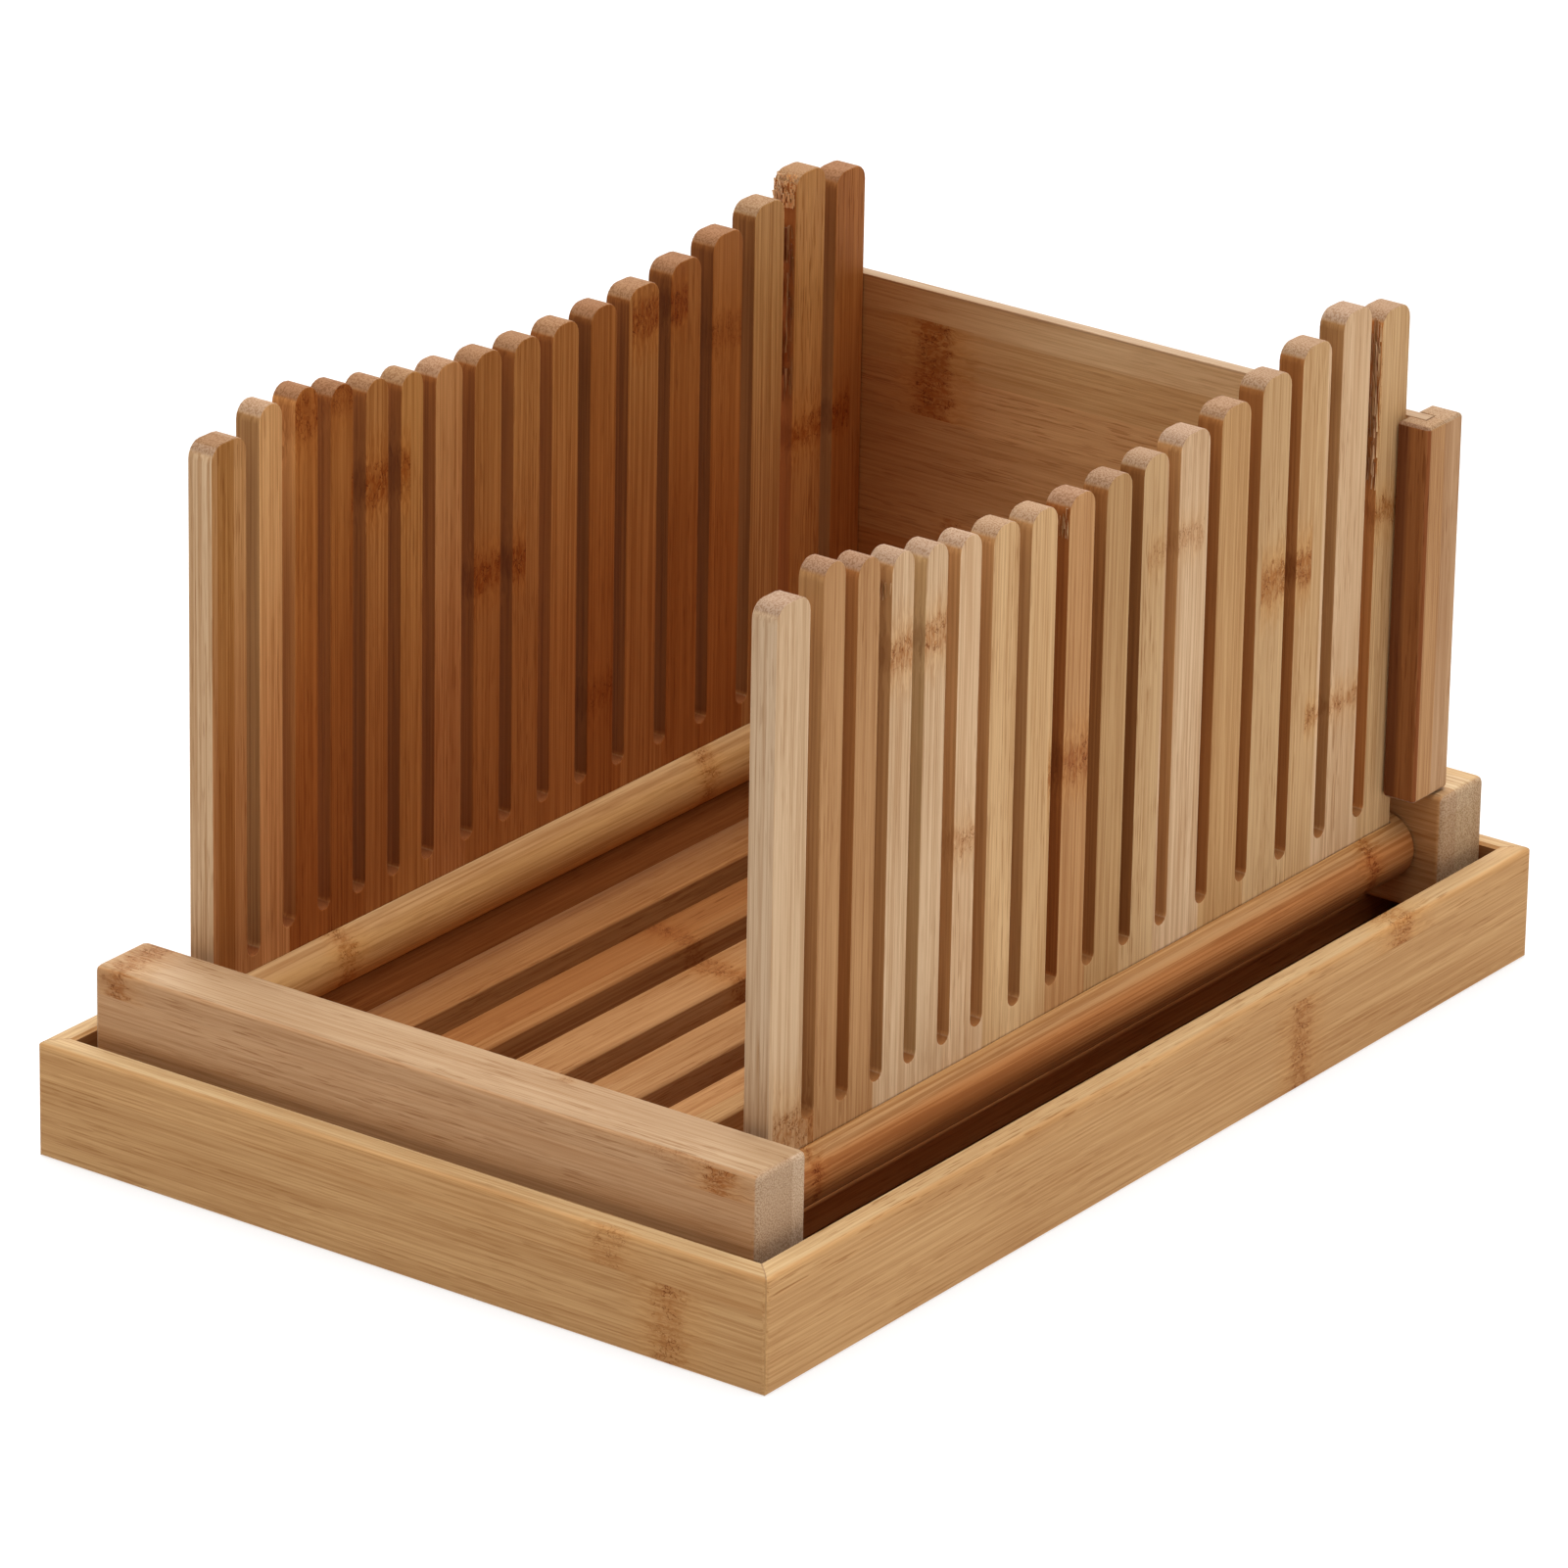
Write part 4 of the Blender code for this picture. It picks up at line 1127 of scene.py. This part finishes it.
def camera_axes(studio):
    """The camera's own x, y and z directions, and its place."""
    turn = studio.azimuth
    rise = studio.elevation
    level = math.cos(rise)
    back = Vector((math.sin(turn) * level, -math.cos(turn) * level, math.sin(rise)))
    right = (-back).cross(Vector((0.0, 0.0, 1.0))).normalized()
    up = right.cross(-back)
    tilt = studio.roll
    across = right * math.cos(tilt) + up * math.sin(tilt)
    upward = up * math.cos(tilt) - right * math.sin(tilt)
    return across, upward, back, Vector(studio.target) + back * studio.distance


def sky(studio):
    """A soft dome of light, brightest overhead."""
    world = bpy.data.worlds.new("soft_dome")
    world.use_nodes = True
    tree = world.node_tree
    way = node(tree, "ShaderNodeTexCoord", output="Generated")
    height = part(tree, way, Z).highest(0.0)
    overhead = height * height
    behind = vector(tree, "DOT_PRODUCT", way, SCREEN_WAY, output=1).highest(0.0)
    screen = behind * behind * behind * studio.screen
    light = tree.nodes["Background"]
    plug(tree, light.inputs["Color"], (1.0, 1.0, 1.0))
    strength = overhead * overhead * studio.zenith + screen + studio.horizon
    plug(tree, light.inputs["Strength"], strength)
    bpy.context.scene.world = world


def pale_floor(studio):
    """The sheet of pale paper that the object stands on."""
    mesh = bpy.data.meshes.new("pale_floor")
    shape = bmesh.new()
    bmesh.ops.create_grid(shape, x_segments=4, y_segments=4, size=studio.floor)
    shape.to_mesh(mesh)
    shape.free()
    paper = bpy.data.materials.new("pale_paper")
    paper.use_nodes = True
    shader = paper.node_tree.nodes["Principled BSDF"]
    for key, value in PAPER.items():
        shader.inputs[key].default_value = value
    mesh.materials.append(paper)
    floor = bpy.data.objects.new("pale_floor", mesh)
    floor.location.z = CAD_BOX[0][Z] - FLOOR_GAP
    bpy.context.scene.collection.objects.link(floor)


def soft_box(studio):
    """The soft light on the right."""
    light = bpy.data.lights.new("soft_box", "AREA")
    light.shape = "RECTANGLE"
    light.size, light.size_y = SOFT_BOX_SIZE
    light.energy = studio.side
    box = bpy.data.objects.new("soft_box", light)
    box.location = SOFT_BOX_PLACE
    aim = Vector(SOFT_BOX_AIM) - box.location
    box.rotation_euler = aim.to_track_quat("-Z", "Y").to_euler()
    bpy.context.scene.collection.objects.link(box)


def camera(studio):
    """The camera, at the photograph's angle."""
    lens = bpy.data.cameras.new("camera")
    lens.lens = studio.lens
    lens.sensor_width = SENSOR_WIDTH
    lens.clip_start, lens.clip_end = CAMERA_REACH
    eye = bpy.data.objects.new("camera", lens)
    across, upward, back, spot = camera_axes(studio)
    turned = Matrix((across, upward, back)).transposed().to_4x4()
    eye.matrix_world = Matrix.Translation(spot) @ turned
    bpy.context.scene.collection.objects.link(eye)
    bpy.context.scene.camera = eye


class BREADGUIDE_OT_stage(bpy.types.Operator):
    """Sets the pale floor, the soft light and the camera"""

    bl_idname = "bread_guide.stage"
    bl_label = "Stage"

    def execute(self, context):
        context.scene.view_settings.view_transform = "Standard"
        studio = context.scene.bread_guide_studio
        sky(studio)
        pale_floor(studio)
        soft_box(studio)
        camera(studio)
        return {"FINISHED"}


class BREADGUIDE_PT_sidebar(bpy.types.Panel):
    """Lists the steps and what they use"""

    bl_idname = "BREADGUIDE_PT_sidebar"
    bl_label = "Bread Guide"
    bl_space_type = "VIEW_3D"
    bl_region_type = "UI"
    bl_category = "Bread Guide"

    def draw(self, context):
        for step in STEPS:
            self.layout.operator(step.bl_idname)
        for group in GROUPS:
            settings = getattr(context.scene, group)
            box = self.layout.box()
            for key in settings.bl_rna.properties.keys():
                if key not in ("rna_type", "name"):
                    box.prop(settings, key)


STEPS = (
    BREADGUIDE_OT_stage,
    BREADGUIDE_OT_tray_boards,
    BREADGUIDE_OT_glue_lines,
    BREADGUIDE_OT_tray_floor,
    BREADGUIDE_OT_bars,
    BREADGUIDE_OT_slats,
    BREADGUIDE_OT_rods,
    BREADGUIDE_OT_pivot_pins,
    BREADGUIDE_OT_comb_walls,
    BREADGUIDE_OT_splinters,
    BREADGUIDE_OT_back_panel,
    BREADGUIDE_OT_cleats,
)
GROUPS = {
    "bread_guide_colours": BambooColours,
    "bread_guide_grain": BambooGrain,
    "bread_guide_mitre": TrayMitre,
    "bread_guide_studio": Studio,
}


def register():
    """Adds the settings, the steps and the panel to Blender."""
    for name, group in GROUPS.items():
        bpy.utils.register_class(group)
        setattr(bpy.types.Scene, name, PointerProperty(type=group))
    for step in STEPS:
        bpy.utils.register_class(step)
    bpy.utils.register_class(BREADGUIDE_PT_sidebar)


def unregister():
    """Takes them out again."""
    bpy.utils.unregister_class(BREADGUIDE_PT_sidebar)
    for step in reversed(STEPS):
        bpy.utils.unregister_class(step)
    for name, group in GROUPS.items():
        delattr(bpy.types.Scene, name)
        bpy.utils.unregister_class(group)


def main():
    """Runs every step."""
    register()
    for step in STEPS:
        getattr(bpy.ops.bread_guide, step.bl_idname.split(".")[1])()
    bpy.context.view_layer.update()


if __name__ == "__main__":
    main()
